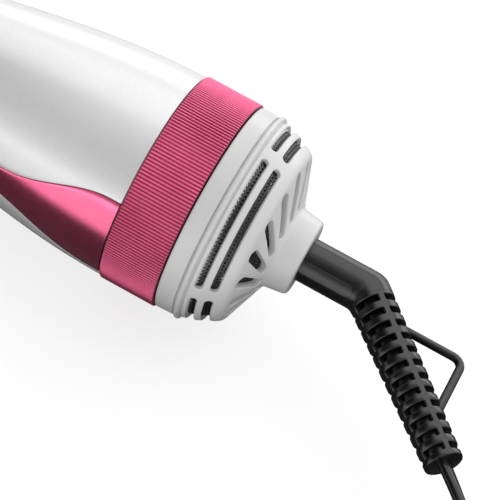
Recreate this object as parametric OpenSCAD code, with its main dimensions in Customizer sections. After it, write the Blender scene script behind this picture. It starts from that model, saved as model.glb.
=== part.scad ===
/* [Handle] */
// Radius of the ribbed selector ring, which is the widest round part
ring_r = 32; // [32:0.5:32]
// Length of the handle from the ring to the neck
handle_len = 168; // [168:1:176]
// Radius of the slim part of the handle
slim_r = 18.9; // [18.9:0.1:19.6]
// Distance over which the handle swells from the slim part to the ring
swell_len = 112; // [108:1:112]
// Wall of the handle shells
shell_wall = 2.2; // [2:0.1:2.4]

/* [Side inlay] */
// Half height that the inlay's wide foot adds at the ring
inlay_foot = 9.2; // [6:0.1:9.4]
// Half height of the inlay's long blade at the ring
inlay_blade = 5.6; // [4:0.1:5.8]
// Length of the inlay
inlay_len = 100; // [80:1:104]
// Thickness of the inlay
inlay_t = 1; // [0.8:0.1:1.1]

/* [Selector ring] */
// Length of the selector ring
ring_len = 17.3; // [17:0.1:17.3]

/* [Intake] */
// Number of swirled slots in the rear cone
cone_slots = 16; // [12:1:18]
// Width of a swirled slot
cone_slot_w = 3; // [2.4:0.1:3.2]
// Number of long slots in each flank row
flank_slots = 4; // [3:1:6]
// Angle of the bridge between two flank slots
flank_bridge = 8; // [6:0.5:12]

/* [Swivel] */
// Radius of the swivel stub
stub_r = 6.55; // [6.4:0.05:6.55]
// Distance from the ring's front edge to the elbow
elbow_x = 67.9; // [64:0.1:70]
// Angle of the elbow
elbow_angle = 45; // [45:1:45]
// Length of the ribbed strain relief
boot_len = 52.9; // [52.9:0.1:52.9]
// Number of slots in the strain relief
boot_slots = 12; // [8:1:12]

/* [Cord] */
// Width of the flat twin cord
cord_w = 5.6; // [5.6:0.1:5.6]
// Thickness of the flat twin cord
cord_t = 3.2; // [3.2:0.1:3.2]

/* [Brush head] */
// Half width of the oval barrel
oval_w = 31; // [30:0.5:31]
// Half thickness of the oval barrel
oval_t = 19.5; // [19:0.5:20]
// Length of the barrel
barrel_len = 108; // [108:1:108]
// Pins in each row
pins_per_row = 14; // [8:1:14]
// Tufts along each side
tufts_per_row = 14; // [8:1:14]

/* [Hidden] */

// Every part is drawn with x counted from the ring's front edge along the handle's axis.
// The brush lies on its ring and its pin tips, so the axis is one ring radius up.
head_len = 142;
elbow_dir = [cos(elbow_angle), -sin(elbow_angle), 0];
arm_len = 3.6;
boot_end = arm_len + boot_len;
boot_tip_r = 5.45;
boot_root_r = 6.4;
slot_pitch = 4.35;
slot_w = 1.9;
slots_from = 4.9;
flange_r = 9.2;
flange_x = [35.9, 37.7];
cord_bore = 3;
loop_r = 1.25;
loop_y = -5.5;
loop_x = [81.6, 100.1];
loop_drop = 19.2;
rear_x = elbow_x + boot_end*cos(elbow_angle) + boot_tip_r*sin(elbow_angle);
front_x = -handle_len - head_len;
origin_x = -(rear_x + front_x)/2;

// Handle
flare_r = 2.1;
bulb_r = 12.55;
shell_steps = 24;
seam_fit = 0.02;
frame_r = 28.84;
frame_bore = 27;
land_len = 8;

// Intake
band_x0 = 17.6;
band_x1 = 25.7;
hub_x1 = 48.2;
bore_fit = 0.05;
slot_rows = [[26.8, 29.05], [30.9, 33.1]];
slot_outer = 24.6;
slot_inner = 13.6;
slot_shift = 25;
first_slot = 10;

// Selector
carrier_r = 30.18;
lug_x0 = 5;
lug_x1 = 11;
lug_half = 6;
// where the lug rests, counted from the top toward -Y; it turns to larger angles
lug_angle = 135;
selector_travel = 90;
pad_step = 30;

// Motor and fan
motor_x0 = -52;
motor_x1 = -19;
can_r = 14;
shaft_r = 1.5;
vanes = 7;
blades = 9;

// Heater
heater_x0 = -150;
heater_x1 = -72;
heater_r = 13.5;

// Head
neck_x = -handle_len;
barrel_x1 = neck_x - 18;
barrel_x0 = barrel_x1 - barrel_len;
oval_n = 2.5;
plate_t = 0.95;
barrel_wall = 1.8;
strip_w = 3;
strip_x0 = barrel_x0 + 2;
strip_x1 = barrel_x1 - 2;
pin_rows = [-18, -9, 0, 9, 18];
pin_low = 1.5;
pin_r = 0.9;
tuft_reach = 47.5;
tuft_rows = [-5, 0, 5];

// Cord, in the assembly's own frame with the floor at 0
cord_exit = place_point([elbow_x, 0, 0] + boot_end*elbow_dir);
cord_route = [
    cord_exit,
    [211, -44, 32],
    [216, -49, 31.4],
    [222, -55, 29.6],
    [229, -61, 26],
    [237, -66, 21],
    [246, -70, 15.6],
    [256, -72, 10.4],
    [267, -72.5, 6.4],
    [279, -71.5, 4.2],
    [291, -70.5, 4],
    [303, -68.6, 4],
    [315, -65, 4.2]
];
plug_route = [
    [276, -16.8, 10.4],
    [266, -16.6, 10],
    [254.5, -13.7, 7.4],
    [246, -5, 4.4],
    [243, 6.5, 3.2],
    [246, 18, 4.4],
    [254.5, 26.6, 8.4],
    [264, 29.8, 12.2],
    [272, 30, 13]
];
hank_mid = [296, -40];
hank_len = 130;
hank_w = 50;
hank_z0 = 1.5;
hank_z1 = 13.7;
plug_x = 272;
plug_y = 30;
plug_z = 13;
relief_len = 20;
plug_face = plug_x + relief_len + 36;
pin_len = 19;
pin_gap = 9.5;

function place_point(p) = [p.x + origin_x, p.y, p.z + ring_r];

module place() {
    translate([origin_x, 0, ring_r])
        children();
}

// ---- shapes that repeat ----

// A solid of revolution about the handle's axis. Points are [radius, x].
module revolve(points, from = 0, sweep = 360) {
    rotate([0, 90, 0])
        rotate([0, 0, from + 180])
            rotate_extrude(angle = sweep, $fn = 96)
                polygon(points);
}

// A ring between two radii and two places along the axis. Angle 0 is the top, and angles
// grow toward -Y.
module ring(r0, r1, x0, x1, from = 0, sweep = 360) {
    revolve([[r0, x0], [r1, x0], [r1, x1], [r0, x1]], from, sweep);
}

// A rod along the axis
module rod(r, x0, x1, sides = 48) {
    translate([x0, 0, 0])
        rotate([0, 90, 0])
            cylinder(r = r, h = x1 - x0, $fn = sides);
}

// A box between two corners
module box(low, high) {
    translate(low)
        cube(high - low);
}

// Children turned about the axis, so that +Z goes to the given angle
module turned(angle) {
    rotate([angle, 0, 0])
        children();
}

// A closed tube with a flat oval section along a list of points. The wide side is
// turned by a roll that goes from one angle to another along the tube.
function unit(v) = v/norm(v);
function tangent(p, i) =
    unit(p[min(i + 1, len(p) - 1)] - p[max(i - 1, 0)]);
function across(t) = unit(cross(t, [0, 0, 1]));
function tube_ring(p, i, w, h, roll, sides) =
    let(
        t = i == 0 ? unit(p[1] - p[0]) : tangent(p, i),
        u = across(t),
        v = cross(u, t)
    )
    [for (k = [0 : sides - 1])
        let(
            a = 360*(k + 0.5)/sides,
            x = w/2*cos(a)/cos(180/sides),
            y = h/2*sin(a)/cos(180/sides)
        )
        p[i] + u*(x*cos(roll) - y*sin(roll)) + v*(x*sin(roll) + y*cos(roll))];
function roll_at(i, count, roll0, roll1) = roll0 + (roll1 - roll0)*min(1, 2*i/(count - 1));

module tube(p, w, h, roll0 = 0, roll1 = 0, sides = 8) {
    count = len(p);
    points = [
        for (i = [0 : count - 1])
            each tube_ring(p, i, w, h, roll_at(i, count, roll0, roll1), sides)
    ];
    faces = [
        [for (k = [0 : sides - 1]) k],
        for (i = [0 : count - 2])
            for (k = [0 : sides - 1])
                let(a = i*sides + k, b = i*sides + (k + 1)%sides)
                each [[b, a, a + sides], [b, a + sides, b + sides]],
        [for (k = [sides - 1 : -1 : 0]) (count - 1)*sides + k]
    ];
    polyhedron(points = points, faces = faces);
}

// A smooth line through hand-chosen points, with some points added between each pair
function smooth(p, steps) = [
    for (i = [0 : len(p) - 2])
        for (k = [0 : steps - 1])
            let(
                a = p[max(i - 1, 0)],
                b = p[i],
                c = p[i + 1],
                d = p[min(i + 2, len(p) - 1)],
                t = k/steps
            )
            0.5*((2*b) + (c - a)*t + (2*a - 5*b + 4*c - d)*t*t + (3*b - a - 3*c + d)*t*t*t),
    p[len(p) - 1]
];

// The outline of the head: a superellipse in the plane across the axis
function signed_pow(v, e) = sign(v)*pow(abs(v), e);
function oval(w, t, count = 56) = [
    for (i = [0 : count - 1])
        let(a = 360*(i + 0.5)/count)
        [t*signed_pow(sin(a), 2/oval_n), w*signed_pow(cos(a), 2/oval_n)]
];

// A prism of the head's outline along the axis
module oval_bar(grow, x0, x1) {
    translate([x0, 0, 0])
        rotate([0, 90, 0])
            linear_extrude(x1 - x0)
                polygon(oval(oval_w + grow, oval_t + grow));
}

// ---- handle ----

function handle_r(x) =
    x > -swell_len
        ? slim_r + bulb_r*(1 + cos(180*x/swell_len))/2
        : slim_r + flare_r*(1 - cos(180*(x + swell_len)/(handle_len - swell_len)))/2;
function inlay_half(x) =
    inlay_foot*(x > -3 ? 1 : x < -37 ? 0 : (1 + cos(180*(x + 3)/34))/2)
    + inlay_blade*(1 - pow(min(1, -x/inlay_len), 1.8));
function handle_line(inset, x0, x1, count) =
    [for (i = [0 : count]) let(x = x0 + (x1 - x0)*i/count) [handle_r(x) - inset, x]];

module half_shell(from) {
    outer = handle_line(0, -handle_len, 0, shell_steps);
    inner = handle_line(shell_wall, -land_len, -handle_len, shell_steps - 2);
    land = [[frame_r + seam_fit, 0], [frame_r + seam_fit, -land_len]];
    revolve(concat(outer, land, inner), from, 180);
}

// The inlay's outline seen from the side, as a prism through the handle
module inlay_prism(gap, side) {
    count = 26;
    top = [for (i = [0 : count])
        let(x = -inlay_len*(1 - pow(1 - i/count, 1.5)))
        [x, inlay_half(x) + gap]];
    bottom = [for (i = [count : -1 : 0]) [top[i].x, -top[i].y]];
    translate([0, side*45, 0])
        rotate([90, 0, 0])
            translate([0, 0, side > 0 ? 0 : -40])
                linear_extrude(40)
                    polygon(concat([[2, top[0].y]], top, bottom, [[2, -top[0].y]]));
}

module inlay_skin(depth0, depth1) {
    outer = handle_line(depth0, -inlay_len - 4, 0, shell_steps);
    inner = handle_line(depth1, 0, -inlay_len - 4, shell_steps);
    revolve(concat(outer, inner));
}

module inlay_recess(side) {
    intersection() {
        inlay_skin(-1, inlay_t + 0.05);
        inlay_prism(0.2, side);
    }
}

screw_places = [[-94, 15.9], [-94, -15.9], [-152, 15.9], [-152, -15.9]];

module upper_shell() {
    color("white")
        place()
            difference() {
                union() {
                    half_shell(270);
                    for (s = screw_places)
                        translate([s.x, s.y, 0.1])
                            cylinder(r = 2.1, h = 7.5, $fn = 32);
                }
                inlay_recess(1);
                inlay_recess(-1);
                for (s = screw_places)
                    translate([s.x, s.y, -1])
                        cylinder(r = 1.05, h = 7, $fn = 24);
            }
}

module lower_shell() {
    color("white")
        place()
            difference() {
                union() {
                    half_shell(90);
                    for (s = screw_places)
                        translate([s.x, s.y, -9])
                            cylinder(r = 2.2, h = 8.9, $fn = 32);
                }
                inlay_recess(1);
                inlay_recess(-1);
                for (s = screw_places) {
                    translate([s.x, s.y, -9.5])
                        cylinder(r = 1.35, h = 12, $fn = 24);
                    translate([s.x, s.y, -24])
                        cylinder(r = 2.6, h = 24 - 6.5, $fn = 32);
                }
            }
}

module inlay(side) {
    color("palevioletred")
        place()
            intersection() {
                inlay_skin(0, inlay_t);
                inlay_prism(0, side);
                box([-inlay_len - 1, side > 0 ? 0 : -40, -20], [-0.15, side > 0 ? 40 : 0, 20]);
            }
}

module left_inlay() {
    inlay(-1);
}

module right_inlay() {
    inlay(1);
}

module shell_screws() {
    color("dimgray")
        place()
            for (s = screw_places)
                translate([s.x, s.y, 0])
                    difference() {
                        union() {
                            translate([0, 0, -8.2])
                                cylinder(r = 2.3, h = 1.6, $fn = 32);
                            translate([0, 0, -6.7])
                                cylinder(r = 1, h = 12, $fn = 24);
                        }
                        translate([-1.5, -0.3, -8.3])
                            cube([3, 0.6, 0.8]);
                        translate([-0.3, -1.5, -8.3])
                            cube([0.6, 3, 0.8]);
                    }
}

// ---- tail ----

module rear_frame() {
    color("dimgray")
        place()
            difference() {
                ring(frame_bore, frame_r, -land_len + 0.1, 24);
                // window for the selector's lug
                ring(26, 30, lug_x0 - 0.5, lug_x1 + 0.5,
                    lug_angle - lug_half - 2, selector_travel + 2*lug_half + 4);
                // pocket for the detent spring
                ring(28, 30, 13, 16.2, -10.5, 21);
            }
}

module tail_band() {
    color("white")
        place()
            revolve([
                [frame_r + seam_fit, band_x0], [31.2, band_x0], [31.5, band_x0 + 0.3],
                [31.35, 23], [31.1, 23.3], [31.35, 23.6], [31.75, 24.2], [31.75, 25],
                [31.3, 25.6], [30.9, band_x1], [frame_r + seam_fit, band_x1]
            ]);
}

module slot_sector(x, at) {
    sweep = 360/flank_slots - flank_bridge;
    ring(22, 34, x[0], x[1], at + flank_bridge/2, sweep);
}

module cone_slot(angle) {
    outer = slot_outer*[sin(angle), cos(angle)];
    inner = slot_inner*[sin(angle + slot_shift), cos(angle + slot_shift)];
    run = outer - inner;
    translate([30, -inner.x, inner.y])
        rotate([atan2(run.x, run.y), 0, 0])
            translate([0, -cone_slot_w/2, 0])
                cube([20, cone_slot_w, norm(run)]);
}

module intake_grille() {
    color("whitesmoke")
        place()
            difference() {
                revolve([
                    [stub_r + bore_fit, hub_x1], [10.7, hub_x1], [11.35, 47.7], [11.55, 46.8],
                    [12.3, 41.2], [25.9, 36.1], [26.6, 35.5], [27.3, 34.5], [27.95, 33.1],
                    [28.95, 31.1], [29.7, 29.4], [30.35, 27.4], [30.8, band_x1 + 0.05],
                    [frame_bore - seam_fit, band_x1 + 0.05], [frame_bore - seam_fit, 20],
                    [25.4, 20], [25.4, 27], [27.9, 27.4], [26.6, 31.1], [25, 33.8],
                    [23.6, 34.6], [11.8, 38.9], [11.8, 35], [9.4, 35], [9.4, 37.9],
                    [stub_r + bore_fit, 37.9]
                ]);
                for (row = slot_rows)
                    for (i = [0 : flank_slots - 1])
                        slot_sector(row, i*360/flank_slots);
                for (i = [0 : cone_slots - 1])
                    cone_slot(first_slot + i*360/cone_slots);
            }
}

module intake_filter() {
    color("black")
        place()
            revolve([
                [25.2, 26.2], [25.2, 27.3], [27.3, 27.6], [26.1, 31], [24.6, 33.4],
                [23.4, 34.1], [12.2, 38.2], [12.2, 37.6], [23, 33.6], [24.1, 33],
                [25.5, 30.8], [26.6, 28], [24.6, 27.8], [24.6, 26.2]
            ]);
}

module selector_ring() {
    color("palevioletred")
        place()
            revolve([
                [carrier_r + seam_fit, 0.15], [ring_r - 0.3, 0.15], [ring_r, 0.45],
                [ring_r, ring_len - 0.3], [ring_r - 0.3, ring_len],
                [carrier_r + seam_fit, ring_len]
            ]);
}

module selector_carrier() {
    color("darkslategray")
        place() {
            ring(frame_r + 0.06, carrier_r, 0.4, ring_len - 0.3);
            ring(24.6, frame_r + 0.5, lug_x0, lug_x1, lug_angle - lug_half, 2*lug_half);
        }
}

module switch_wiper() {
    color("goldenrod")
        place()
            ring(25, 26.5, lug_x1, lug_x1 + 1.5, lug_angle - 2, 4);
}

module switch_board() {
    color("seagreen")
        place()
            ring(20.5, frame_bore - 0.2, 12.8, 14.4,
                lug_angle - 14, selector_travel + 28);
}

module switch_contacts() {
    color("gold")
        place()
            for (i = [0 : 3])
                ring(25, 26.4, 12.62, 12.8, lug_angle + i*pad_step - 8, 16);
}

module detent_spring() {
    color("silver")
        place()
            ring(28.05, 28.7, 13.2, 16, -10, 20);
}

// ---- swivel ----

module swivel_retainer() {
    color("gray")
        place()
            revolve([
                [4.7, 33.4], [11.8, 33.4], [11.8, 34.95], [9.38, 34.95], [9.38, 35.7], [4.7, 35.7]
            ]);
}

module contact_block() {
    color("ivory")
        place()
            difference() {
                box([25.8, -8.4, -7], [33.4, 8.4, 7]);
                box([25, -6.2, -5.6], [34, 6.2, 5.6]);
            }
}

module contact_springs() {
    color("peru")
        place() {
            box([27, -6.2, 4.35], [29, 6.2, 4.6]);
            box([30.5, -6.2, -4.6], [32.5, 6.2, -4.35]);
        }
}

// Children drawn along +X from the elbow, turned into the arm's direction
module at_elbow() {
    translate([elbow_x, 0, 0])
        rotate([0, 0, -elbow_angle])
            children();
}

module swivel_sleeve() {
    color("black")
        place()
            difference() {
                union() {
                    rod(flange_r, flange_x[0], flange_x[1]);
                    rod(stub_r, flange_x[1] - 0.2, elbow_x);
                    translate([elbow_x, 0, 0])
                        sphere(r = stub_r + 0.12, $fn = 64);
                    at_elbow()
                        rod(boot_root_r, 0, arm_len);
                }
                rod(cord_bore, flange_x[0] - 2, elbow_x);
                translate([elbow_x, 0, 0])
                    sphere(r = cord_bore + 0.2, $fn = 48);
                at_elbow() {
                    rod(cord_bore, 0, arm_len + 1);
                    box([arm_len, -12, -12], [15, 12, 12]);
                }
            }
}

module slip_ring_core() {
    color("dimgray")
        place()
            difference() {
                union() {
                    rod(3.6, 26, 35.9);
                    rod(2.9, 35.7, 39);
                }
                rod(1, 25, 40, 24);
            }
}

module slip_rings() {
    color("gold")
        place() {
            ring(3.62, 4.3, 27, 29);
            ring(3.62, 4.3, 30.5, 32.5);
        }
}

module cord_boot() {
    core = 3.7;
    color("black")
        place()
            at_elbow() {
                difference() {
                    translate([arm_len, 0, 0])
                        rotate([0, 90, 0])
                            cylinder(r1 = boot_root_r, r2 = boot_tip_r, h = boot_len, $fn = 64);
                    for (i = [0 : boot_slots - 1])
                        for (side = [0 : 3])
                            boot_slot(slots_from + i*slot_pitch, side*90, core);
                }
            }
}

// One of the four openings of a slot, between two spines
module boot_slot(l, angle, core) {
    half = 34;
    ring(core, 8, l, l + slot_w, angle + 45 - half, 2*half);
}

module hanging_loop() {
    color("black")
        place() {
            translate([loop_x[0], loop_y, 0])
                rod(loop_r, 0, loop_x[1] - loop_x[0], 32);
            translate([loop_x[1], loop_y, 0])
                sphere(r = loop_r + 0.08, $fn = 32);
            translate([loop_x[1], loop_y, 0])
                rotate([90, 0, 0])
                    cylinder(r = loop_r, h = loop_drop, $fn = 32);
        }
}

// ---- cord ----

module supply_cord() {
    color("black")
        tube(smooth(cord_route, 1), cord_w, cord_t, 44, 90);
}

module plug_lead() {
    color("black")
        tube(smooth(plug_route, 2), cord_w, cord_t, 90, 90);
}

// A racetrack outline about a middle point
function racetrack(length, width, count = 16) = [
    for (side = [0, 1])
        for (i = [0 : count])
            let(a = -90 + 180*i/count + 180*side)
            [
                (side == 0 ? 1 : -1)*(length - width)/2 + width/2*cos(a),
                width/2*sin(a)
            ]
];

module cord_hank() {
    color("black")
        translate([hank_mid.x, hank_mid.y, hank_z0])
            linear_extrude(hank_z1 - hank_z0)
                polygon(racetrack(hank_len, hank_w));
}

module cord_tie() {
    tie_w = 8;
    color("dimgray")
        translate([hank_mid.x, hank_mid.y, 0])
            difference() {
                box([-tie_w/2, -hank_w/2 - 1.5, 0], [tie_w/2, hank_w/2 + 1.5, hank_z1 + 1.5]);
                box([-tie_w, -hank_w/2, hank_z0], [tie_w, hank_w/2, hank_z1]);
            }
}

// The plug lies with its pins toward +X
module plug_relief() {
    color("black")
        translate([plug_x, plug_y, plug_z])
            rotate([0, 90, 0])
                cylinder(r1 = 4, r2 = 5.6, h = relief_len, $fn = 48);
}

module plug_body() {
    color("black")
        translate([plug_face, plug_y, plug_z])
            rotate([0, -90, 0])
                intersection() {
                    union() {
                        cylinder(r = 17.6, h = 14, $fn = 96);
                        translate([0, 0, 13.9])
                            cylinder(r1 = 17.6, r2 = 7.5, h = 22.1, $fn = 96);
                    }
                    translate([-plug_z, -20, -1])
                        cube([2*plug_z, 40, 40]);
                }
}

module plug_pins() {
    color("silver")
        for (side = [-1, 1])
            translate([plug_face, plug_y + side*pin_gap, plug_z])
                rotate([0, 90, 0])
                    cylinder(r = 2.4, h = pin_len, $fn = 48);
}

// ---- motor and fan ----

module fan_shroud() {
    color("gainsboro")
        place()
            union() {
                revolve([
                    [20, -58], [21.6, -58], [24.2, -32], [27.4, -16], [27.4, -8.4],
                    [frame_bore - 0.05, -8.1], [frame_bore - 0.05, -0.5], [25.8, -0.5],
                    [25.8, -16], [22.6, -32]
                ]);
                ring(can_r + 0.05, 15.3, motor_x0, motor_x1 - 1);
                for (i = [0 : vanes - 1])
                    turned(i*360/vanes)
                        box([-50, -0.6, 14.8], [-38, 0.6, 22.2]);
            }
}

module shroud_gasket() {
    color("darkslategray")
        place()
            ring(27.42, 28.4, -13, -9.5);
}

module motor_can() {
    color("silver")
        place()
            revolve([
                [can_r, motor_x0], [can_r, motor_x1], [3.5, motor_x1], [3.5, motor_x1 + 3],
                [2.6, motor_x1 + 3], [2.6, motor_x1 - 1], [can_r - 1, motor_x1 - 1],
                [can_r - 1, motor_x0]
            ]);
}

module motor_endbell() {
    color("black")
        place()
            revolve([
                [2.6, -56.5], [5, -56.5], [5, -54.2], [can_r - 0.2, -54.2],
                [can_r - 0.2, motor_x0 - 0.02], [2.6, motor_x0 - 0.02]
            ]);
}

module motor_magnets() {
    color("dimgray")
        place() {
            ring(10.7, can_r - 1.05, -45, -25, 25, 130);
            ring(10.7, can_r - 1.05, -45, -25, 205, 130);
        }
}

module motor_bearings() {
    color("darkgoldenrod")
        place() {
            ring(shaft_r + 0.04, 2.58, motor_x1 - 0.9, motor_x1 + 2.9);
            ring(shaft_r + 0.04, 2.58, -56.4, motor_x0 - 0.1);
        }
}

module carbon_brushes() {
    color("black")
        place()
            for (side = [0, 180])
                turned(side)
                    box([-51, -1.2, 3.75], [-48.6, 1.2, 9]);
}

module motor_shaft() {
    color("silver")
        place()
            rod(shaft_r, -57.5, -2, 32);
}

module armature() {
    color("slategray")
        place()
            difference() {
                rod(10.2, -44, -26);
                rod(shaft_r + 0.01, -60, 0, 32);
                for (i = [0 : 4])
                    turned(i*72)
                        box([-45, -1.1, 5], [-25, 1.1, 12]);
            }
}

module armature_coils() {
    color("chocolate")
        place() {
            ring(4.4, 9.2, -47.2, -44.02);
            ring(4.4, 9.2, -25.98, -22.8);
        }
}

module commutator() {
    color("peru")
        place()
            ring(shaft_r + 0.01, 3.7, -51.4, -47.4);
}

module fan_impeller() {
    hub_r = 8.4;
    color("whitesmoke")
        place()
            difference() {
                union() {
                    rod(hub_r, -13, -3.5);
                    for (i = [0 : blades - 1])
                        turned(i*360/blades)
                            translate([-8.2, 0, hub_r - 1])
                                rotate([0, 0, 38])
                                    box([-6, -0.6, 0], [6, 0.6, 17.2]);
                }
                rod(shaft_r + 0.01, -20, 5, 32);
            }
}

module rectifier_board() {
    color("seagreen")
        place() {
            ring(2, 11, -60.2, -58.6);
            for (i = [0 : 3])
                turned(45 + i*90)
                    translate([-63.4, 0, 7])
                        rod(1.4, 0, 3.2, 24);
        }
}

// ---- heater ----

module heater_sleeve() {
    color("tan")
        place()
            ring(heater_r - 0.6, heater_r, heater_x0, heater_x1);
}

module heater_frame() {
    half = heater_r - 0.7;
    color("wheat")
        place()
            union() {
                box([heater_x0 + 2, -0.4, -half], [heater_x1 - 2, 0.4, half]);
                box([heater_x0 + 2, -half, -0.4], [heater_x1 - 2, half, 0.4]);
            }
}

module heater_coil() {
    turns = 12;
    seg = 14;
    coil_r = 10.4;
    wire = 1.1;
    points = [
        for (i = [0 : turns*seg])
            [heater_x0 + 8 + 60*i/(turns*seg), coil_r*cos(360*i/seg), coil_r*sin(360*i/seg)]
    ];
    color("firebrick")
        place()
            tube(points, wire, wire, 0, 0, 6);
}

module thermostat() {
    color("silver")
        place()
            translate([-69.4, 0, 0])
                rotate([0, 90, 0])
                    cylinder(r = 4.5, h = 4, $fn = 48);
}

module thermal_fuse() {
    color("silver")
        place()
            translate([heater_x0 - 9, 6, 0])
                rod(1.5, 0, 8.5, 24);
}

module internal_leads() {
    lead = 1.7;
    color("royalblue")
        place() {
            tube(smooth([
                [24.4, 7.4, 0], [21.8, 10, -3], [19, 14, -10], [17, 16, -15.6], [15.6, 16.6, -17.4]
            ], 2), lead, lead, 0, 0, 6);
            tube(smooth([
                [-63.6, -9, 4], [-66, -10, 5], [-69, -11, 4], [-71.8, -11.4, 3]
            ], 2), lead, lead, 0, 0, 6);
        }
}

// ---- head ----

module neck_collar() {
    color("palevioletred")
        place()
            revolve([
                [19.4, neck_x - 4.5], [21.6, neck_x - 4.5], [21.9, neck_x - 4.2],
                [21.9, neck_x - 0.3], [21.6, neck_x - 0.02], [19.4, neck_x - 0.02]
            ]);
}

module head_base() {
    color("black")
        place()
            difference() {
                hull() {
                    rod(21.2, neck_x - 6, neck_x - 4.52, 32);
                    oval_bar(0.2, barrel_x1 + 0.02, barrel_x1 + 5);
                }
                hull() {
                    rod(18.8, neck_x - 5, neck_x - 4, 32);
                    oval_bar(-2.4, barrel_x1, barrel_x1 + 1);
                }
            }
}

module strip_slots(grow, x0, x1) {
    for (y = pin_rows)
        box([x0, y - strip_w/2 - grow, -30], [x1, y + strip_w/2 + grow, 30]);
}

module vents() {
    count = 6;
    pitch = (barrel_len - 8)/count;
    for (y = [-13.5, -4.5, 4.5, 13.5])
        for (i = [0 : count - 1])
            box([barrel_x0 + 4 + (i + 0.5)*pitch - 5.5, y - 1.4, -30],
                [barrel_x0 + 4 + (i + 0.5)*pitch + 5.5, y + 1.4, 30]);
}

module barrel() {
    color("dimgray")
        place()
            difference() {
                oval_bar(-1, barrel_x0, barrel_x1);
                oval_bar(-1 - barrel_wall, barrel_x0 - 1, barrel_x1 + 1);
                strip_slots(0.05, strip_x0, strip_x1);
                vents();
            }
}

module heat_plate(side) {
    color("palevioletred")
        place()
            difference() {
                intersection() {
                    oval_bar(0, strip_x0 - 1, strip_x1 + 1);
                    box([-400, -23, side > 0 ? 2 : -30], [0, 23, side > 0 ? 30 : -2]);
                }
                oval_bar(-plate_t, barrel_x0 - 1, barrel_x1 + 1);
                strip_slots(0.05, strip_x0, strip_x1);
                vents();
            }
}

module upper_plate() {
    heat_plate(1);
}

module lower_plate() {
    heat_plate(-1);
}

// Height of the head's outline over a place across it
function oval_height(y) = oval_t*pow(1 - pow(abs(y)/oval_w, oval_n), 1/oval_n);

module pin_strips(side) {
    pitch = (strip_x1 - strip_x0 - 6)/(pins_per_row - 1);
    color("black")
        place()
            rotate([side > 0 ? 0 : 180, 0, 0])
                for (y = pin_rows) {
                    top = oval_height(y) + 0.3;
                    reach = ring_r - (abs(y) > 10 ? pin_low : 0);
                    box([strip_x0 + 0.05, y - strip_w/2, top - 3.4],
                        [strip_x1 - 0.05, y + strip_w/2, top]);
                    for (i = [0 : pins_per_row - 1])
                        translate([strip_x0 + 3 + i*pitch, y, top - 0.5])
                            cylinder(r1 = pin_r + 0.15, r2 = pin_r - 0.1,
                                     h = reach - top + 0.5, $fn = 16);
                }
}

module upper_pins() {
    pin_strips(1);
}

module lower_pins() {
    pin_strips(-1);
}

module bristle_strip(side) {
    pitch = (strip_x1 - strip_x0 - 6)/(tufts_per_row - 1);
    base_y = oval_w - 0.95;
    base_top = base_y + 1.6;
    color("black")
        place()
            mirror([0, side > 0 ? 0 : 1, 0]) {
                box([strip_x0, base_y, -7.2], [strip_x1, base_top, 7.2]);
                for (z = tuft_rows)
                    for (i = [0 : tufts_per_row - 1])
                        translate([strip_x0 + 3 + i*pitch, base_top - 0.2, z])
                            rotate([-90, 0, 0])
                                cylinder(r = 1.3, h = tuft_reach - base_top + 0.2 - abs(z)/5, $fn = 16);
            }
}

module left_bristles() {
    bristle_strip(-1);
}

module right_bristles() {
    bristle_strip(1);
}

module end_cap() {
    color("palevioletred")
        place()
            hull() {
                oval_bar(0.2, barrel_x0 - 4, barrel_x0 - 0.02);
                oval_bar(-2.2, barrel_x0 - 10, barrel_x0 - 9);
                oval_bar(-8, front_x, front_x + 1);
            }
}

upper_shell();
lower_shell();
left_inlay();
right_inlay();
shell_screws();
rear_frame();
tail_band();
intake_grille();
intake_filter();
selector_ring();
selector_carrier();
switch_wiper();
switch_board();
switch_contacts();
detent_spring();
swivel_retainer();
contact_block();
contact_springs();
swivel_sleeve();
slip_ring_core();
slip_rings();
cord_boot();
hanging_loop();
supply_cord();
cord_hank();
cord_tie();
plug_lead();
plug_relief();
plug_body();
plug_pins();
fan_shroud();
shroud_gasket();
motor_can();
motor_endbell();
motor_magnets();
motor_bearings();
carbon_brushes();
motor_shaft();
armature();
armature_coils();
commutator();
fan_impeller();
rectifier_board();
heater_sleeve();
heater_frame();
heater_coil();
thermostat();
thermal_fuse();
internal_leads();
neck_collar();
head_base();
barrel();
upper_plate();
lower_plate();
upper_pins();
lower_pins();
left_bristles();
right_bristles();
end_cap();
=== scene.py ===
"""The looks of a hot air brush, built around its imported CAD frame.

Lengths are millimetres. Most shapes are drawn in the handle's own frame: x runs along the
handle from the selector ring's front edge toward the cord, and y and z run across it. An
angle "round the handle" is counted from the top toward -Y. The cord, hank and plug are drawn
in the row frame, with the floor at z = 0.
"""

import math
import random

import bmesh
import bpy
import numpy as np
from mathutils import Matrix, Vector
from mathutils.geometry import delaunay_2d_cdt


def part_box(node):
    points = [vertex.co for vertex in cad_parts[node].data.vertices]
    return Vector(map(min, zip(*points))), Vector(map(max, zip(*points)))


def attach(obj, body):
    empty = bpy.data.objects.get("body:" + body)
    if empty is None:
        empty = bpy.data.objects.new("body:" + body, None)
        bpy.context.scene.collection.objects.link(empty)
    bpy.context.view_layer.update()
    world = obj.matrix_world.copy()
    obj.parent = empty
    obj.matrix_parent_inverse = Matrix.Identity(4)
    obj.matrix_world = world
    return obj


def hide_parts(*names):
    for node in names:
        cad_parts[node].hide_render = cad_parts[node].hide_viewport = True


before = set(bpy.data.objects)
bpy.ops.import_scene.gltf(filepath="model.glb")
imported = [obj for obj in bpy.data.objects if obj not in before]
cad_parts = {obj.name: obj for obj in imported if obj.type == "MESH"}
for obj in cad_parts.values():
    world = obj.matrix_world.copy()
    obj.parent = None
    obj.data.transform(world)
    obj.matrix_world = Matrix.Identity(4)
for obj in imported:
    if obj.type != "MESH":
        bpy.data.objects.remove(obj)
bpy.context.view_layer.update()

MM = 0.001
RING_LOW, RING_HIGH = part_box("selector_ring")
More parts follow.
